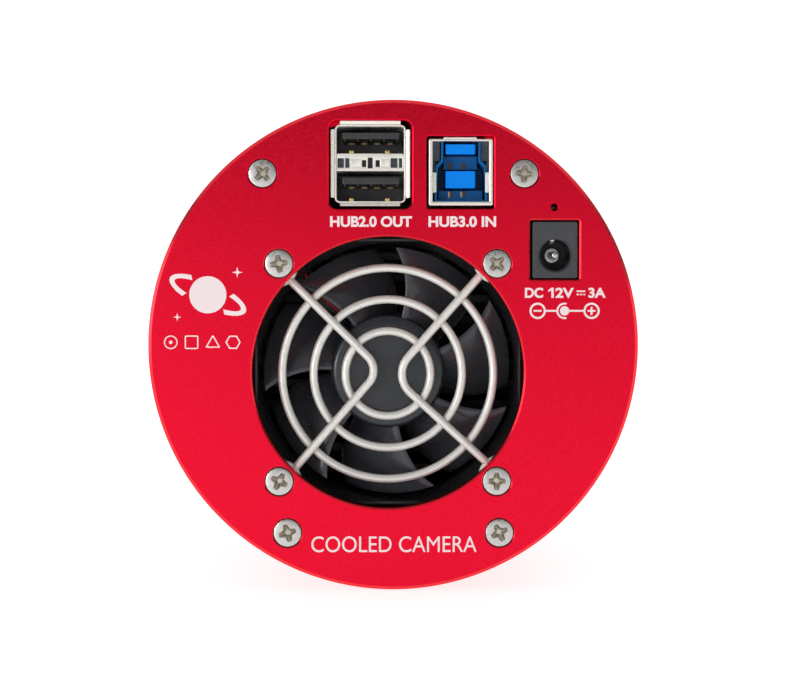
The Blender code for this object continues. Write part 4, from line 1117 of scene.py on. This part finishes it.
def stacked_sockets():
    low, high = box("usb_a_shell")
    front, back = low.y, high.y
    left, right, bottom, top = -10.75, 2.25, 26.15, 40.45
    builder = bmesh.new()
    wall = 0.3
    outer = rounded(rectangle(left, right, bottom, top), 0.9, 6)
    inner = rounded(rectangle(left + wall, right - wall, bottom + wall, top - wall), 0.65, 6)
    add_frame_tube(builder, outer, inner, front + 0.5, back)
    wide = 0.82
    depth = 2.5
    add_lip(builder, (left, 27.1), (left, 39.55), (-1.0, 0.0), wide - 0.1, front, depth)
    add_lip(builder, (right, 27.1), (right, 39.5), (1.0, 0.0), wide, front, depth)
    add_lip(builder, (-9.8, top), (1.3, top), (0.0, 1.0), 0.7, front, depth)
    add_lip(builder, (-9.8, bottom), (1.2, bottom), (0.0, -1.0), 0.6, front, depth)
    add_block(builder, left + 0.2, right - 0.2, back - 1.2, back - 0.2, bottom + 0.2, top - 0.2)
    finish_piece(builder, "usb_a_shell_detailed", "connector_steel", BODY, ("usb_a_shell",))
    band_low, band_high = 32.0, 35.2
    builder = bmesh.new()
    outline = rounded(rectangle(left + 0.32, right - 0.32, band_low, band_high), 0.2, 3)
    loops = [(outline, 0.1, "round")]
    holes = ((-10.25, -8.05, 32.6, 34.35), (-5.75, -5.0, 32.75, 34.0), (-4.7, -3.8, 32.5, 34.45),
             (-3.25, -2.5, 32.75, 34.0), (-0.5, 1.6, 32.6, 34.35))
    for bounds in holes:
        hole = rounded(rectangle(*bounds), 0.12, 3)
        loops.append((hole, 0.08, "round"))
    add_plate(builder, loops, front + 0.75, front + 1.1)
    for low_z, high_z in ((band_low, band_low + 0.25), (band_high - 0.25, band_high)):
        add_block(builder, left + 0.35, right - 0.35, front + 1.0, back - 1.3, low_z, high_z, 0.05)
    finish_piece(builder, "usb_a_band", "connector_steel", BODY)
    tabs = [(x0, x1, front + 0.55, front + 0.95, 32.85, 34.1) for x0, x1 in ((-7.9, -5.85), (-2.4, -0.65))]
    block_piece("usb_a_band_tabs", "bright_tin", tabs, 0.12, "connector_steel")
    inner_low, inner_high = band_low + 0.3, band_high - 0.3
    # Dark steel behind the band's holes: painted shade inside the socket.
    backing = [(x0, x1, front + 2.1, front + 2.4, inner_low, inner_high)
               for x0, x1 in ((left + 0.4, -7.5), (-1.0, right - 0.4))]
    block_piece("usb_a_band_backing", "steel_painted_shade", backing, 0.05, "connector_steel")
    ribs = [(x - 0.14, x + 0.14, front + 1.6, front + 2.15, inner_low, inner_high) for x in (-8.95, 0.9)]
    block_piece("usb_a_band_ribs", "connector_steel", ribs, 0.04)
    insulator = ((left + 0.4, right - 0.4, back - 5.0, back - 1.4, bottom + 0.4, band_low - 0.1),
                 (left + 0.4, right - 0.4, back - 5.0, back - 1.4, band_high + 0.1, top - 0.4),
                 (-7.0, -1.5, front + 2.2, back - 1.4, inner_low, inner_high))
    block_piece("usb_a_insulator", "black_plastic", insulator, 0.12)
    springs = bmesh.new()
    for x in (-7.7, -1.1):
        for base in (band_high, bottom + wall):
            path = []
            for step in range(13):
                share = step / 12.0
                rise = 0.55 * math.sin(math.pi * share) ** 0.8
                path.append((front + 1.6 + 5.0 * share, base + 0.05 + rise))
            sections = []
            for y, z in path:
                sections.append([(x - 0.42, y, z - 0.08), (x + 0.42, y, z - 0.08),
                                 (x + 0.42, y, z + 0.08), (x - 0.42, y, z + 0.08)])
            add_loft(springs, sections)
            add_block(springs, x - 0.4, x + 0.4, front + 1.25, front + 1.75, base + 0.08, base + 0.6, 0.06)
    finish_piece(springs, "usb_a_springs", "gold", BODY, slot="bronze")
    contacts = bmesh.new()
    for name in ("usb_a_tongue_upper", "usb_a_tongue_lower"):
        tongue_low, tongue_high = box(name)
        builder = bmesh.new()
        add_block(builder, tongue_low.x, tongue_high.x, tongue_low.y, back - 1.3, tongue_low.z, tongue_high.z,
                  0.14)
        for rib in range(5):
            x = tongue_low.x + 0.3 + 2.42 * rib
            add_block(builder, x, x + 0.32, tongue_low.y + 1.2, back - 1.5,
                      tongue_low.z - 0.3, tongue_low.z + 0.1, 0.04)
        finish_piece(builder, name + "_detailed", "black_plastic", BODY, (name,))
        for number in range(4):
            x = tongue_low.x + 1.05 + 2.42 * number
            add_block(contacts, x, x + 1.1, tongue_low.y + 10.0, back - 1.5,
                      tongue_low.z - 0.2, tongue_low.z - 0.02, 0.04)
    finish_piece(contacts, "usb_a_contacts", "gold", BODY, slot="bronze")


def square_socket():
    low, high = box("usb_b_shell")
    front, back = low.y, high.y
    left, right, bottom, top = 6.45, 18.25, 25.65, 37.85
    wall = 0.72
    builder = bmesh.new()
    tab_left, tab_right, tab_top = 9.25, 15.2, 38.2
    outer = rounded([(left, bottom), (right, bottom), (right, top), (tab_right + 0.2, top),
                     (tab_right, tab_top), (tab_left, tab_top), (tab_left - 0.2, top), (left, top)],
                    [0.35, 0.35, 0.35, 0.1, 0.1, 0.1, 0.1, 0.35], 4)
    inner = rounded([(left + wall, bottom + wall), (right - wall, bottom + wall), (right - wall, top - 0.42),
                     (tab_right - 0.1, top - 0.42), (tab_right - 0.3, tab_top - 0.42),
                     (tab_left + 0.3, tab_top - 0.42), (tab_left + 0.1, top - 0.42),
                     (left + wall, top - 0.42)], 0.08, 3)
    add_plate(builder, [(outer, 0.22, "round"), (inner, 0.22, "round")], front, front + 1.6)
    thin = 0.3
    sleeve_in = rounded(rectangle(left + thin, right - thin, bottom + thin, top - thin), 0.1, 3)
    sleeve_out = rounded(rectangle(left, right, bottom, top), 0.35, 4)
    add_plate(builder, [(sleeve_out, 0.05, "round"), (sleeve_in, 0.05, "round")], front + 1.55, back)
    add_block(builder, left + 0.2, right - 0.2, back - 1.4, back - 0.3, bottom + 0.2, top - 0.2)
    finish_piece(builder, "usb_b_shell_detailed", "connector_steel", BODY, ("usb_b_shell",))
    springs = [(x0, x1, front + 0.9, front + 5.5, 28.05, 31.8)
               for x0, x1 in ((left + 0.32, 7.88), (16.88, right - 0.32))]
    block_piece("usb_b_springs", "connector_steel", springs, 0.12)
    # Dark sheets in the shell's upper corners, standing for the shade there: painted shade.
    sides = ((left + 0.34, 7.7, 32.0, 33.9), (left + 0.34, 8.6, 33.9, top - 0.34),
             (17.1, right - 0.34, 32.0, 33.9), (16.2, right - 0.34, 33.9, top - 0.34))
    panels = [(x0, x1, front + 2.6, front + 2.9, z0, z1) for x0, x1, z0, z1 in sides]
    block_piece("usb_b_painted_shade_panels", "steel_painted_shade", panels, 0.06, "connector_steel")
    body_front = front + 1.0
    body_left, body_right, body_bottom, body_top = 7.75, 17.05, 26.45, 37.35
    neck_left, neck_right = 8.75, 16.05
    rim = 0.42
    foot_left, foot_right = body_left - 0.2, body_right + 0.25
    waist_left, waist_right = body_left + 0.15, body_right - 0.15
    right_side = [(foot_right, 27.9), (waist_right, 28.0), (waist_right, 31.9), (body_right, 32.0),
                  (body_right, 33.0), (neck_right, 34.05), (neck_right, body_top)]
    left_side = [(neck_left, body_top), (neck_left, 34.05), (body_left, 33.0), (body_left, 32.0),
                 (waist_left, 31.9), (waist_left, 28.0), (foot_left, 27.9)]
    floor_z = body_bottom + 0.25
    inside = [(neck_right - rim, body_top), (neck_right - rim, 33.7), (body_right - rim, 32.6),
              (foot_right - rim, floor_z), (foot_left + rim, floor_z), (body_left + rim, 32.6),
              (neck_left + rim, 33.7), (neck_left + rim, body_top)]
    foot = [(foot_left, body_bottom), (foot_right, body_bottom)]
    builder = bmesh.new()
    walls = rounded(foot + right_side + inside + left_side, 0.1, 3)
    add_plate(builder, [(walls, 0.1, "round")], body_front, body_front + 8.2)
    block = rounded(foot + right_side + left_side, 0.12, 3)
    add_plate(builder, [(block, 0.1, "round")], body_front + 8.0, back - 1.6)
    finish_piece(builder, "usb_b_insulator_detailed", "blue_plastic", BODY, ("usb_b_insulator",))
    inner_back, step_front = body_front + 8.3, body_front + 2.6
    # The tongues take the lighter blue: painted light.
    tongues = ((9.6, 15.05, body_front + 0.35, inner_back, 28.9, 32.05),
               (9.6, 15.05, body_front + 0.25, inner_back, 35.15, 36.95))
    block_piece("usb_b_tongues", "blue_plastic_painted_light", tongues, 0.16, "blue_plastic")
    ledges = ((8.3, 16.5, step_front, inner_back, 26.75, 28.55),
              (9.25, 15.5, step_front, inner_back, 32.4, 34.9))
    block_piece("usb_b_ledges", "blue_plastic", ledges, 0.1)
    # Black marks on the insulator's step where the contact slots are: painted shade in the slots.
    builder = bmesh.new()
    marks = ((10.5, 33.05, 0.45, 0.62), (12.95, 33.0, 0.48, 0.66), (10.85, 27.85, 0.25, 0.52),
             (13.15, 27.85, 0.3, 0.5))
    for x, z, half_x, half_z in marks:
        add_block(builder, x - half_x, x + half_x, step_front - 0.06, step_front + 0.3,
                  z - half_z, z + half_z, 0.05)
    for x in (9.7, 10.9, 12.0, 13.1, 14.2):
        add_block(builder, x - 0.2, x + 0.3, step_front - 0.05, step_front + 0.3, 34.5, 34.85, 0.04)
    finish_piece(builder, "usb_b_slot_shade_marks", "black_plastic", BODY)
    contacts = [(x - 0.16, x + 0.16, step_front - 0.1, step_front + 0.3, 27.3, 28.4) for x in (10.3, 12.6)]
    block_piece("usb_b_contacts", "bronze", contacts, 0.05)


def power_jack():
    low, high = box("dc_jack_body")
    pin_low, pin_high = box("dc_jack_pin")
    centre = middle_of("dc_jack_pin")
    front, back = low.y, high.y
    hole = 3.12
    floor = pin_high.y + 0.3
    outer = rounded(rectangle(low.x, high.x, low.z, high.z), 0.35, 5)
    builder = bmesh.new()
    add_plate(builder, [(outer, 0.15, "round"), (circle(hole, centre, 96), 0.18, "round")], front, floor)
    add_plate(builder, [(outer, 0.1, "round")], floor - 0.05, back)
    finish_piece(builder, "dc_jack_body_detailed", "jack_plastic", BODY, ("dc_jack_body",), "black_plastic")
    sleeve = bmesh.new()
    add_turned(sleeve, [(hole - 0.02, front + 0.5), (hole - 0.25, front + 0.55),
                        (hole - 0.25, floor - 0.2), (hole - 0.02, floor - 0.2)], centre, 96)
    finish_piece(sleeve, "dc_jack_sleeve", "black_plastic", BODY)
    tip, radius = pin_low.y, 0.66
    outline = [(0.0, tip)]
    for step in range(1, 7):
        angle = 0.5 * math.pi * step / 6
        outline.append((radius - 0.3 + 0.3 * math.sin(angle), tip + 0.3 * (1.0 - math.cos(angle))))
    collar = pin_high.y - 1.0
    outline += [(radius, pin_high.y - 0.2), (0.95, pin_high.y - 0.2), (0.98, collar - 0.35),
                (1.3, collar - 0.35),
                (1.36, collar - 0.25), (1.36, pin_high.y), (0.0, pin_high.y)]
    finish_piece(turned(outline, centre, 48), "dc_jack_pin_detailed", "bright_screw", BODY, ("dc_jack_pin",))
    spring_low, spring_high = box("dc_jack_spring")
    builder = bmesh.new()
    middle = 0.5 * (spring_low.x + spring_high.x)
    sections = []
    for step in range(15):
        share = step / 14.0
        sag = 0.5 * math.sin(math.pi * share) ** 1.5
        y = spring_low.y - 0.35 + (spring_high.y - spring_low.y + 0.3) * share
        top = spring_high.z - sag + 0.05
        sections.append([(middle - 0.3, y, top - 0.16), (middle + 0.3, y, top - 0.16),
                         (middle + 0.3, y, top), (middle - 0.3, y, top)])
    add_loft(builder, sections)
    finish_piece(builder, "dc_jack_spring_detailed", "connector_steel", BODY, ("dc_jack_spring",))


def indicator():
    low, high = box("indicator_led")
    builder = bmesh.new()
    add_block(builder, low.x, high.x, low.y, high.y, low.z, high.z, 0.1)
    finish_piece(builder, "indicator_led_detailed", "led", BODY, ("indicator_led",))


# --- Housings -------------------------------------------------------------------------------

def rear_tube():
    """The rear housing with its air slots, cut with rounded edges."""
    rear, front = tube_low.y, tube_high.y
    bore = 41.8
    lip_front, lip_rear = front - 3.3, front - 5.8
    outline = [(BODY_RADIUS - 0.35, front), (BODY_RADIUS - 0.1, front - 0.1),
               (BODY_RADIUS, front - 0.35), (BODY_RADIUS, rear + 0.25),
               (BODY_RADIUS - 0.08, rear + 0.07), (BODY_RADIUS - 0.25, rear), (bore, rear),
               (bore, lip_rear), (36.8, lip_rear), (36.8, lip_front), (bore, lip_front), (bore, front)]
    piece = finish_piece(turned(outline), "rear_housing_detailed", "red_anodised", BODY, ("rear_housing",))
    slots = bmesh.new()
    half_wide, half_long = 1.5, 8.0
    middle = -62.0
    for side in (0.0, 180.0):
        for number in range(10):
            angle = side + math.copysign(1.0, 90.0 - side) * (-48.0 + 8.0 * number)
            add_air_slot(slots, angle, middle, half_wide, half_long, bore - 2.0, BODY_RADIUS + 2.0)
    cut(piece, slots)
    bevel(piece, 0.22, 50.0)
    piece.data.set_sharp_from_angle(angle=math.radians(40.0))
    posts = bmesh.new()
    for place in screw_places("cover_screw"):
        add_turned(posts, [(1.8, rear + 0.2), (3.4, rear + 0.2), (3.4, rear + 24.0),
                           (1.8, rear + 24.0)], place, 40)
    shaped = [vert for vert in posts.verts if math.hypot(vert.co.x, vert.co.z) > 43.5]
    for vert in shaped:
        vert.co.xz = Vector((vert.co.x, vert.co.z)).normalized() * 43.5
    finish_piece(posts, "cover_screw_posts", "red_anodised", BODY)


def add_air_slot(builder, angle, middle, half_wide, half_long, inner, outer):
    outline, steps = [], 8
    for end in (1.0, -1.0):
        for step in range(steps + 1):
            x, y = polar(half_wide, 180.0 * step / steps)
            outline.append((end * x, middle + end * (half_long - half_wide + y)))
    spin = Matrix.Rotation(math.radians(-angle), 3, "Y")
    sections = []
    for radius in (inner, outer):
        sections.append([spin @ Vector((radius, y, across)) for across, y in outline])
    add_loft(builder, sections)


def sensor_chamber():
    """The front housing: chamfered ends, a seat for the window and a groove in its rear end."""
    rear, front = chamber_low.y, chamber_high.y
    outline = [
        (23.6, front - 7.3), (41.5, front - 7.3), (41.5, rear + 5.0),
        (34.5, rear + 5.0), (34.5, rear), (35.2, rear), (35.2, rear + 1.4),
        (36.9, rear + 1.4), (36.9, rear), (BODY_RADIUS - 0.35, rear),
        (BODY_RADIUS - 0.1, rear + 0.1), (BODY_RADIUS, rear + 0.35), (BODY_RADIUS, front - 1.0),
        (BODY_RADIUS - 0.05, front - 0.9), (BODY_RADIUS - 0.95, front - 0.04),
        (BODY_RADIUS - 1.1, front), (30.5, front), (30.4, front - 0.1), (30.4, front - 1.9),
        (26.3, front - 1.9), (26.3, front - 5.3), (23.6, front - 5.3)]
    piece = finish_piece(turned(outline), "front_housing_detailed", "red_anodised", BODY, ("front_housing",))
    plug_low, plug_high = box("desiccant_plug")
    level = 0.5 * (plug_low.y + plug_high.y)
    hole = [(0.0, 38.0), (4.8, 38.0), (4.8, 42.2), (6.15, 42.2), (6.15, 44.55), (6.9, 46.0), (0.0, 46.0)]
    cut(piece, radial_piece(hole, level))
    outline = [(0.0, 39.5), (4.5, 39.5), (4.5, 43.2), (5.95, 43.2), (5.95, 44.15), (5.7, 44.4), (0.0, 44.4)]
    plug = finish_piece(radial_piece(outline, level), "desiccant_plug_detailed", "black_anodised", BODY,
                        ("desiccant_plug",))
    slot = bmesh.new()
    outline = rounded(rectangle(-0.6, 0.6, -4.2, 4.2), 0.5, 5)
    add_plate(slot, [(outline, 0.0, "flat")], 43.5, 46.0)
    cut(plug, turn_outwards(slot, level))


def turn_outwards(builder, level):
    """Turn a shape made along +y so that it points out of the chamber at the plug's place."""
    turn = Matrix.Rotation(math.radians(-45.0), 3, "Y") @ Matrix.Rotation(math.radians(90.0), 3, "X")
    bmesh.ops.rotate(builder, verts=builder.verts, cent=(0, 0, 0), matrix=turn)
    bmesh.ops.translate(builder, verts=builder.verts, vec=(0.0, level, 0.0))
    return builder


def radial_piece(outline, level):
    return turn_outwards(turned(outline, steps=72), level)


# --- Front ----------------------------------------------------------------------------------

def tilt_ring():
    """The tilt plate: a black ring with a fine thread in its throat and screw holes round it."""
    rear, front = tilt_low.y, tilt_high.y
    radius, throat = tilt_high.x, 26.6
    edge = 0.6
    outline = [(throat, rear), (radius - edge, rear), (radius, rear + edge), (radius, front - edge),
               (radius - 0.12, front - 0.45), (radius - 0.5, front - 0.06), (radius - edge, front),
               (throat + edge + 0.35, front), (throat + 0.35, front - edge)]
    pitch, level = 0.75, front - 0.75
    while level - pitch > rear + 0.4:
        outline += [(throat, level), (throat, level - 0.1), (throat + 0.35, level - 0.42),
                    (throat + 0.35, level - 0.5)]
        level -= pitch
    outline.append((throat, rear + 0.3))
    piece = finish_piece(turned(outline), "tilt_plate_detailed", "black_anodised", "tilt_plate",
                         ("tilt_plate",))
    holes = bmesh.new()
    for number in range(1, 4):
        centre = middle_of("pull_screw_%d" % number)
        add_turned(holes, [(0.0, rear - 1.0), (1.9, rear - 1.0), (1.9, front - 3.2),
                           (3.2, front - 3.2), (3.2, front - 0.25), (3.7, front + 0.25),
                           (3.7, front + 1.0), (0.0, front + 1.0)], centre, 64)
        centre = middle_of("push_screw_%d" % number)
        add_turned(holes, [(0.0, rear - 1.0), (1.7, rear - 1.0), (1.7, front - 0.2),
                           (2.1, front + 0.2), (2.1, front + 1.0), (0.0, front + 1.0)], centre, 48)
    cut(piece, holes)
    low, high = box("light_seal")
    seal = rounded([(27.5, low.y), (31.0, low.y), (31.0, high.y), (27.5, high.y)], 0.12, 3)
    finish_piece(turned(seal), "light_seal_detailed", "foam", "light_seal", ("light_seal",))


def window_parts():
    low, high = box("window_glass")
    radius, edge = high.x, 0.3
    outline = [(0.0, low.y), (radius - edge, low.y), (radius, low.y + edge), (radius, high.y - edge),
               (radius - edge, high.y), (0.0, high.y)]
    finish_piece(turned(outline), "window_glass_detailed", "clear_glass", BODY, ("window_glass",))
    low, high = box("window_retainer")
    inner, outer = 24.2, 30.1
    outline = [(inner, low.y), (outer, low.y), (outer, high.y - 0.15), (outer - 0.15, high.y),
               (inner + 0.8, high.y), (inner, high.y - 0.7)]
    piece = finish_piece(turned(outline), "window_retainer_detailed", "black_anodised", BODY,
                         ("window_retainer",))
    notches = bmesh.new()
    for angle in (0.0, 90.0, 180.0, 270.0):
        spin = Matrix.Rotation(math.radians(angle), 2)
        corners = [spin @ Vector(point) for point in rectangle(25.4, 31.0, -1.1, 1.1)]
        outline = rounded([(point.x, point.y) for point in corners], 0.5, 4)
        add_plate(notches, [(outline, 0.0, "flat")], high.y - 0.7, high.y + 1.0)
    cut(piece, notches)


def sensor_parts():
    low, high = box("image_sensor")
    outline = rounded(rectangle(low.x, high.x, low.z, high.z), 1.2, 6)
    tray = rounded(rectangle(low.x + 3.5, high.x - 3.5, low.z + 4.0, high.z - 4.0), 0.4, 4)
    builder = bmesh.new()
    add_plate(builder, [(outline, 0.15, "round"), (tray, 0.1, "round")], low.y + 1.8, high.y)
    add_plate(builder, [(outline, 0.1, "round")], low.y, low.y + 1.85)
    finish_piece(builder, "image_sensor_detailed", "ceramic", BODY, ("image_sensor",))
    low, high = box("sensor_die")
    builder = bmesh.new()
    add_block(builder, low.x, high.x, low.y, high.y, low.z, high.z, 0.05, 0.08)
    finish_piece(builder, "sensor_die_detailed", "sensor_die", BODY, ("sensor_die",))
    pads = bmesh.new()
    for side in (-1.0, 1.0):
        for number in range(40):
            x = low.x + (0.6 + number * 0.92)
            z = side * (high.z + 0.9)
            add_plate(pads, [(bar(x, z, 0.2, 0.55), 0.03, "flat")], low.y - 0.35, low.y + 0.05)
    finish_piece(pads, "sensor_bond_pads", "gold", BODY, slot="bronze")
    low, high = box("sensor_cover_glass")
    builder = bmesh.new()
    add_block(builder, low.x, high.x, low.y, high.y, low.z, high.z, 0.12, 0.6)
    finish_piece(builder, "sensor_cover_glass_detailed", "clear_glass", BODY, ("sensor_cover_glass",))


def finish_cad_nodes():
    """Give the CAD nodes that are still shown their procedural materials."""
    slots = {entry["node"]: entry["material_slot"] for entry in frame["record"]["subparts"]}
    slots["heatsink"] = "black_anodised"
    for name, node in frame["nodes"].items():
        node.data.materials.clear()
        node.data.materials.append(MATERIALS[slots[name]])


# --- Stage ----------------------------------------------------------------------------------

def stage_material():
    surface = Surface("stage_white", (0.4, 0.4, 0.4), 0.0, 0.8)
    surface.shader.inputs["Emission Color"].default_value = (1.0, 1.0, 1.0, 1.0)
    surface.shader.inputs["Emission Strength"].default_value = 0.82
    surface.vary_roughness(surface.noise(40.0, 2.0), 0.05)
    return surface.material


def cove(distance, radius, height):
    """The section of a wall that curves up from the floor: (distance, height) points."""
    path = []
    for step in range(17):
        angle = 0.5 * math.pi * step / 16
        path.append((distance - radius + radius * math.sin(angle), radius * (1.0 - math.cos(angle))))
    return path + [(distance, height)]


def add_sheet(builder, first, second):
    """A sheet between two rows of points."""
    rows = [[builder.verts.new(point) for point in row] for row in (first, second)]
    for index in range(len(first) - 1):
        builder.faces.new((rows[0][index], rows[1][index], rows[1][index + 1], rows[0][index + 1]))


def stage():
    """A pale floor that curves up into a high backdrop in front and a low one on either side."""
    floor_z = cad_box[0].z - 0.0002
    half_width, near_edge = 8.0, -12.0
    side_near, side_far = -1.6, 1.5
    builder = bmesh.new()
    back = [(near_edge, 0.0)] + cove(1.5, 0.6, 3.0)
    side = cove(2.0, 0.3, 0.5)
    add_sheet(builder, [(-half_width, y, floor_z + z) for y, z in back],
              [(half_width, y, floor_z + z) for y, z in back])
    for sign in (-1.0, 1.0):
        add_sheet(builder, [(sign * x, side_near, floor_z + z) for x, z in side],
                  [(sign * x, side_far, floor_z + z) for x, z in side])
    mesh = bpy.data.meshes.new("floor")
    builder.to_mesh(mesh)
    builder.free()
    mesh.shade_smooth()
    floor = new_object("floor", mesh)
    mesh.materials.append(stage_material())


def area_light(name, place, target, size, power):
    light = bpy.data.lights.new(name, "AREA")
    light.shape = "RECTANGLE"
    light.size, light.size_y = size
    light.energy = power
    holder = new_object(name, light)
    holder.location = place
    direction = Vector(target) - Vector(place)
    holder.rotation_mode = "QUATERNION"
    holder.rotation_quaternion = direction.to_track_quat("-Z", "Y")


def lights():
    """Soft light: a room that is brighter low down, a soft box low on the left and one overhead."""
    scene = bpy.context.scene
    scene.view_settings.view_transform = "Standard"
    world = bpy.data.worlds.new("studio")
    scene.world = world
    world.use_nodes = True
    nodes, links = world.node_tree.nodes, world.node_tree.links
    background = nodes["Background"]
    background.inputs["Color"].default_value = (1.0, 1.0, 1.0, 1.0)
    direction = nodes.new("ShaderNodeTexCoord").outputs["Generated"]
    split = nodes.new("ShaderNodeSeparateXYZ")
    links.new(direction, split.inputs["Vector"])
    height = nodes.new("ShaderNodeMapRange")
    height.inputs["From Min"].default_value = -1.0
    links.new(split.outputs["Z"], height.inputs["Value"])
    levels = nodes.new("ShaderNodeFloatCurve")
    curve = levels.mapping.curves[0]
    below, above = (0.0, 0.7), (1.0, 0.32)
    curve.points[0].location = below
    curve.points[1].location = above
    for share, level in ((0.506, 0.74), (0.56, 0.0), (0.64, 0.06), (0.8, 0.24)):
        curve.points.new(share, level)
    for point in curve.points:
        point.handle_type = "VECTOR"
    levels.mapping.update()
    links.new(height.outputs["Result"], levels.inputs["Value"])
    scaled = nodes.new("ShaderNodeMath")
    scaled.operation = "MULTIPLY"
    room_brightness = 1.5
    scaled.inputs[1].default_value = room_brightness
    links.new(levels.outputs["Value"], scaled.inputs[0])
    links.new(scaled.outputs["Value"], background.inputs["Strength"])
    middle = (0.0, -0.05, 0.0)
    area_light("key", (-0.7, -1.0, 0.05), middle, (0.6, 0.3), 4.4)
    area_light("top", (0.0, 0.45, 0.9), (0.0, 0.45, 0.0), (2.4, 1.0), 4.0)
    area_light("left_strip", (-0.9, -0.12, 0.1), (0.0, -0.1, 0.0), (0.5, 0.5), 1.7)
    area_light("backdrop", (0.0, 0.35, 0.5), (0.0, 1.4, 0.1), (1.6, 0.5), 4.0)


def camera():
    """The photograph's view: straight on to the rear face, from a little above and to the left."""
    distance = 0.355
    data = bpy.data.cameras.new("camera")
    data.sensor_width = 36.0
    seen_width = 144.27 * MM
    data.lens = data.sensor_width * distance / seen_width
    data.clip_start = 0.005
    holder = new_object("camera", data)
    rear = REAR * MM
    left, above = 0.004, 0.010
    place = Vector((-left, rear - distance, above))
    holder.location = place
    target = Vector((0.0, rear, 0.0))
    holder.rotation_mode = "QUATERNION"
    holder.rotation_quaternion = (target - place).to_track_quat("-Z", "Y")
    bpy.context.scene.camera = holder


def even_out_shading():
    """Let the large faces of every piece set its normals, so that flat faces look flat."""
    for piece in bpy.context.scene.objects:
        if piece.type == "MESH" and piece.name not in frame["nodes"] and piece.name != "floor":
            modifier = piece.modifiers.new("shading", "WEIGHTED_NORMAL")
            modifier.keep_sharp = True
            modifier.weight = 90


def main():
    finish_cad_nodes()
    rear_cover()
    flat_head_screws()
    socket_screws()
    port_labels()
    power_label()
    emblem()
    finger_guard()
    fan_frame()
    motor_mount()
    fan_rotor()
    fan_leads()
    stacked_sockets()
    square_socket()
    power_jack()
    indicator()
    rear_tube()
    sensor_chamber()
    tilt_ring()
    window_parts()
    sensor_parts()
    even_out_shading()
    stage()
    lights()
    camera()


main()
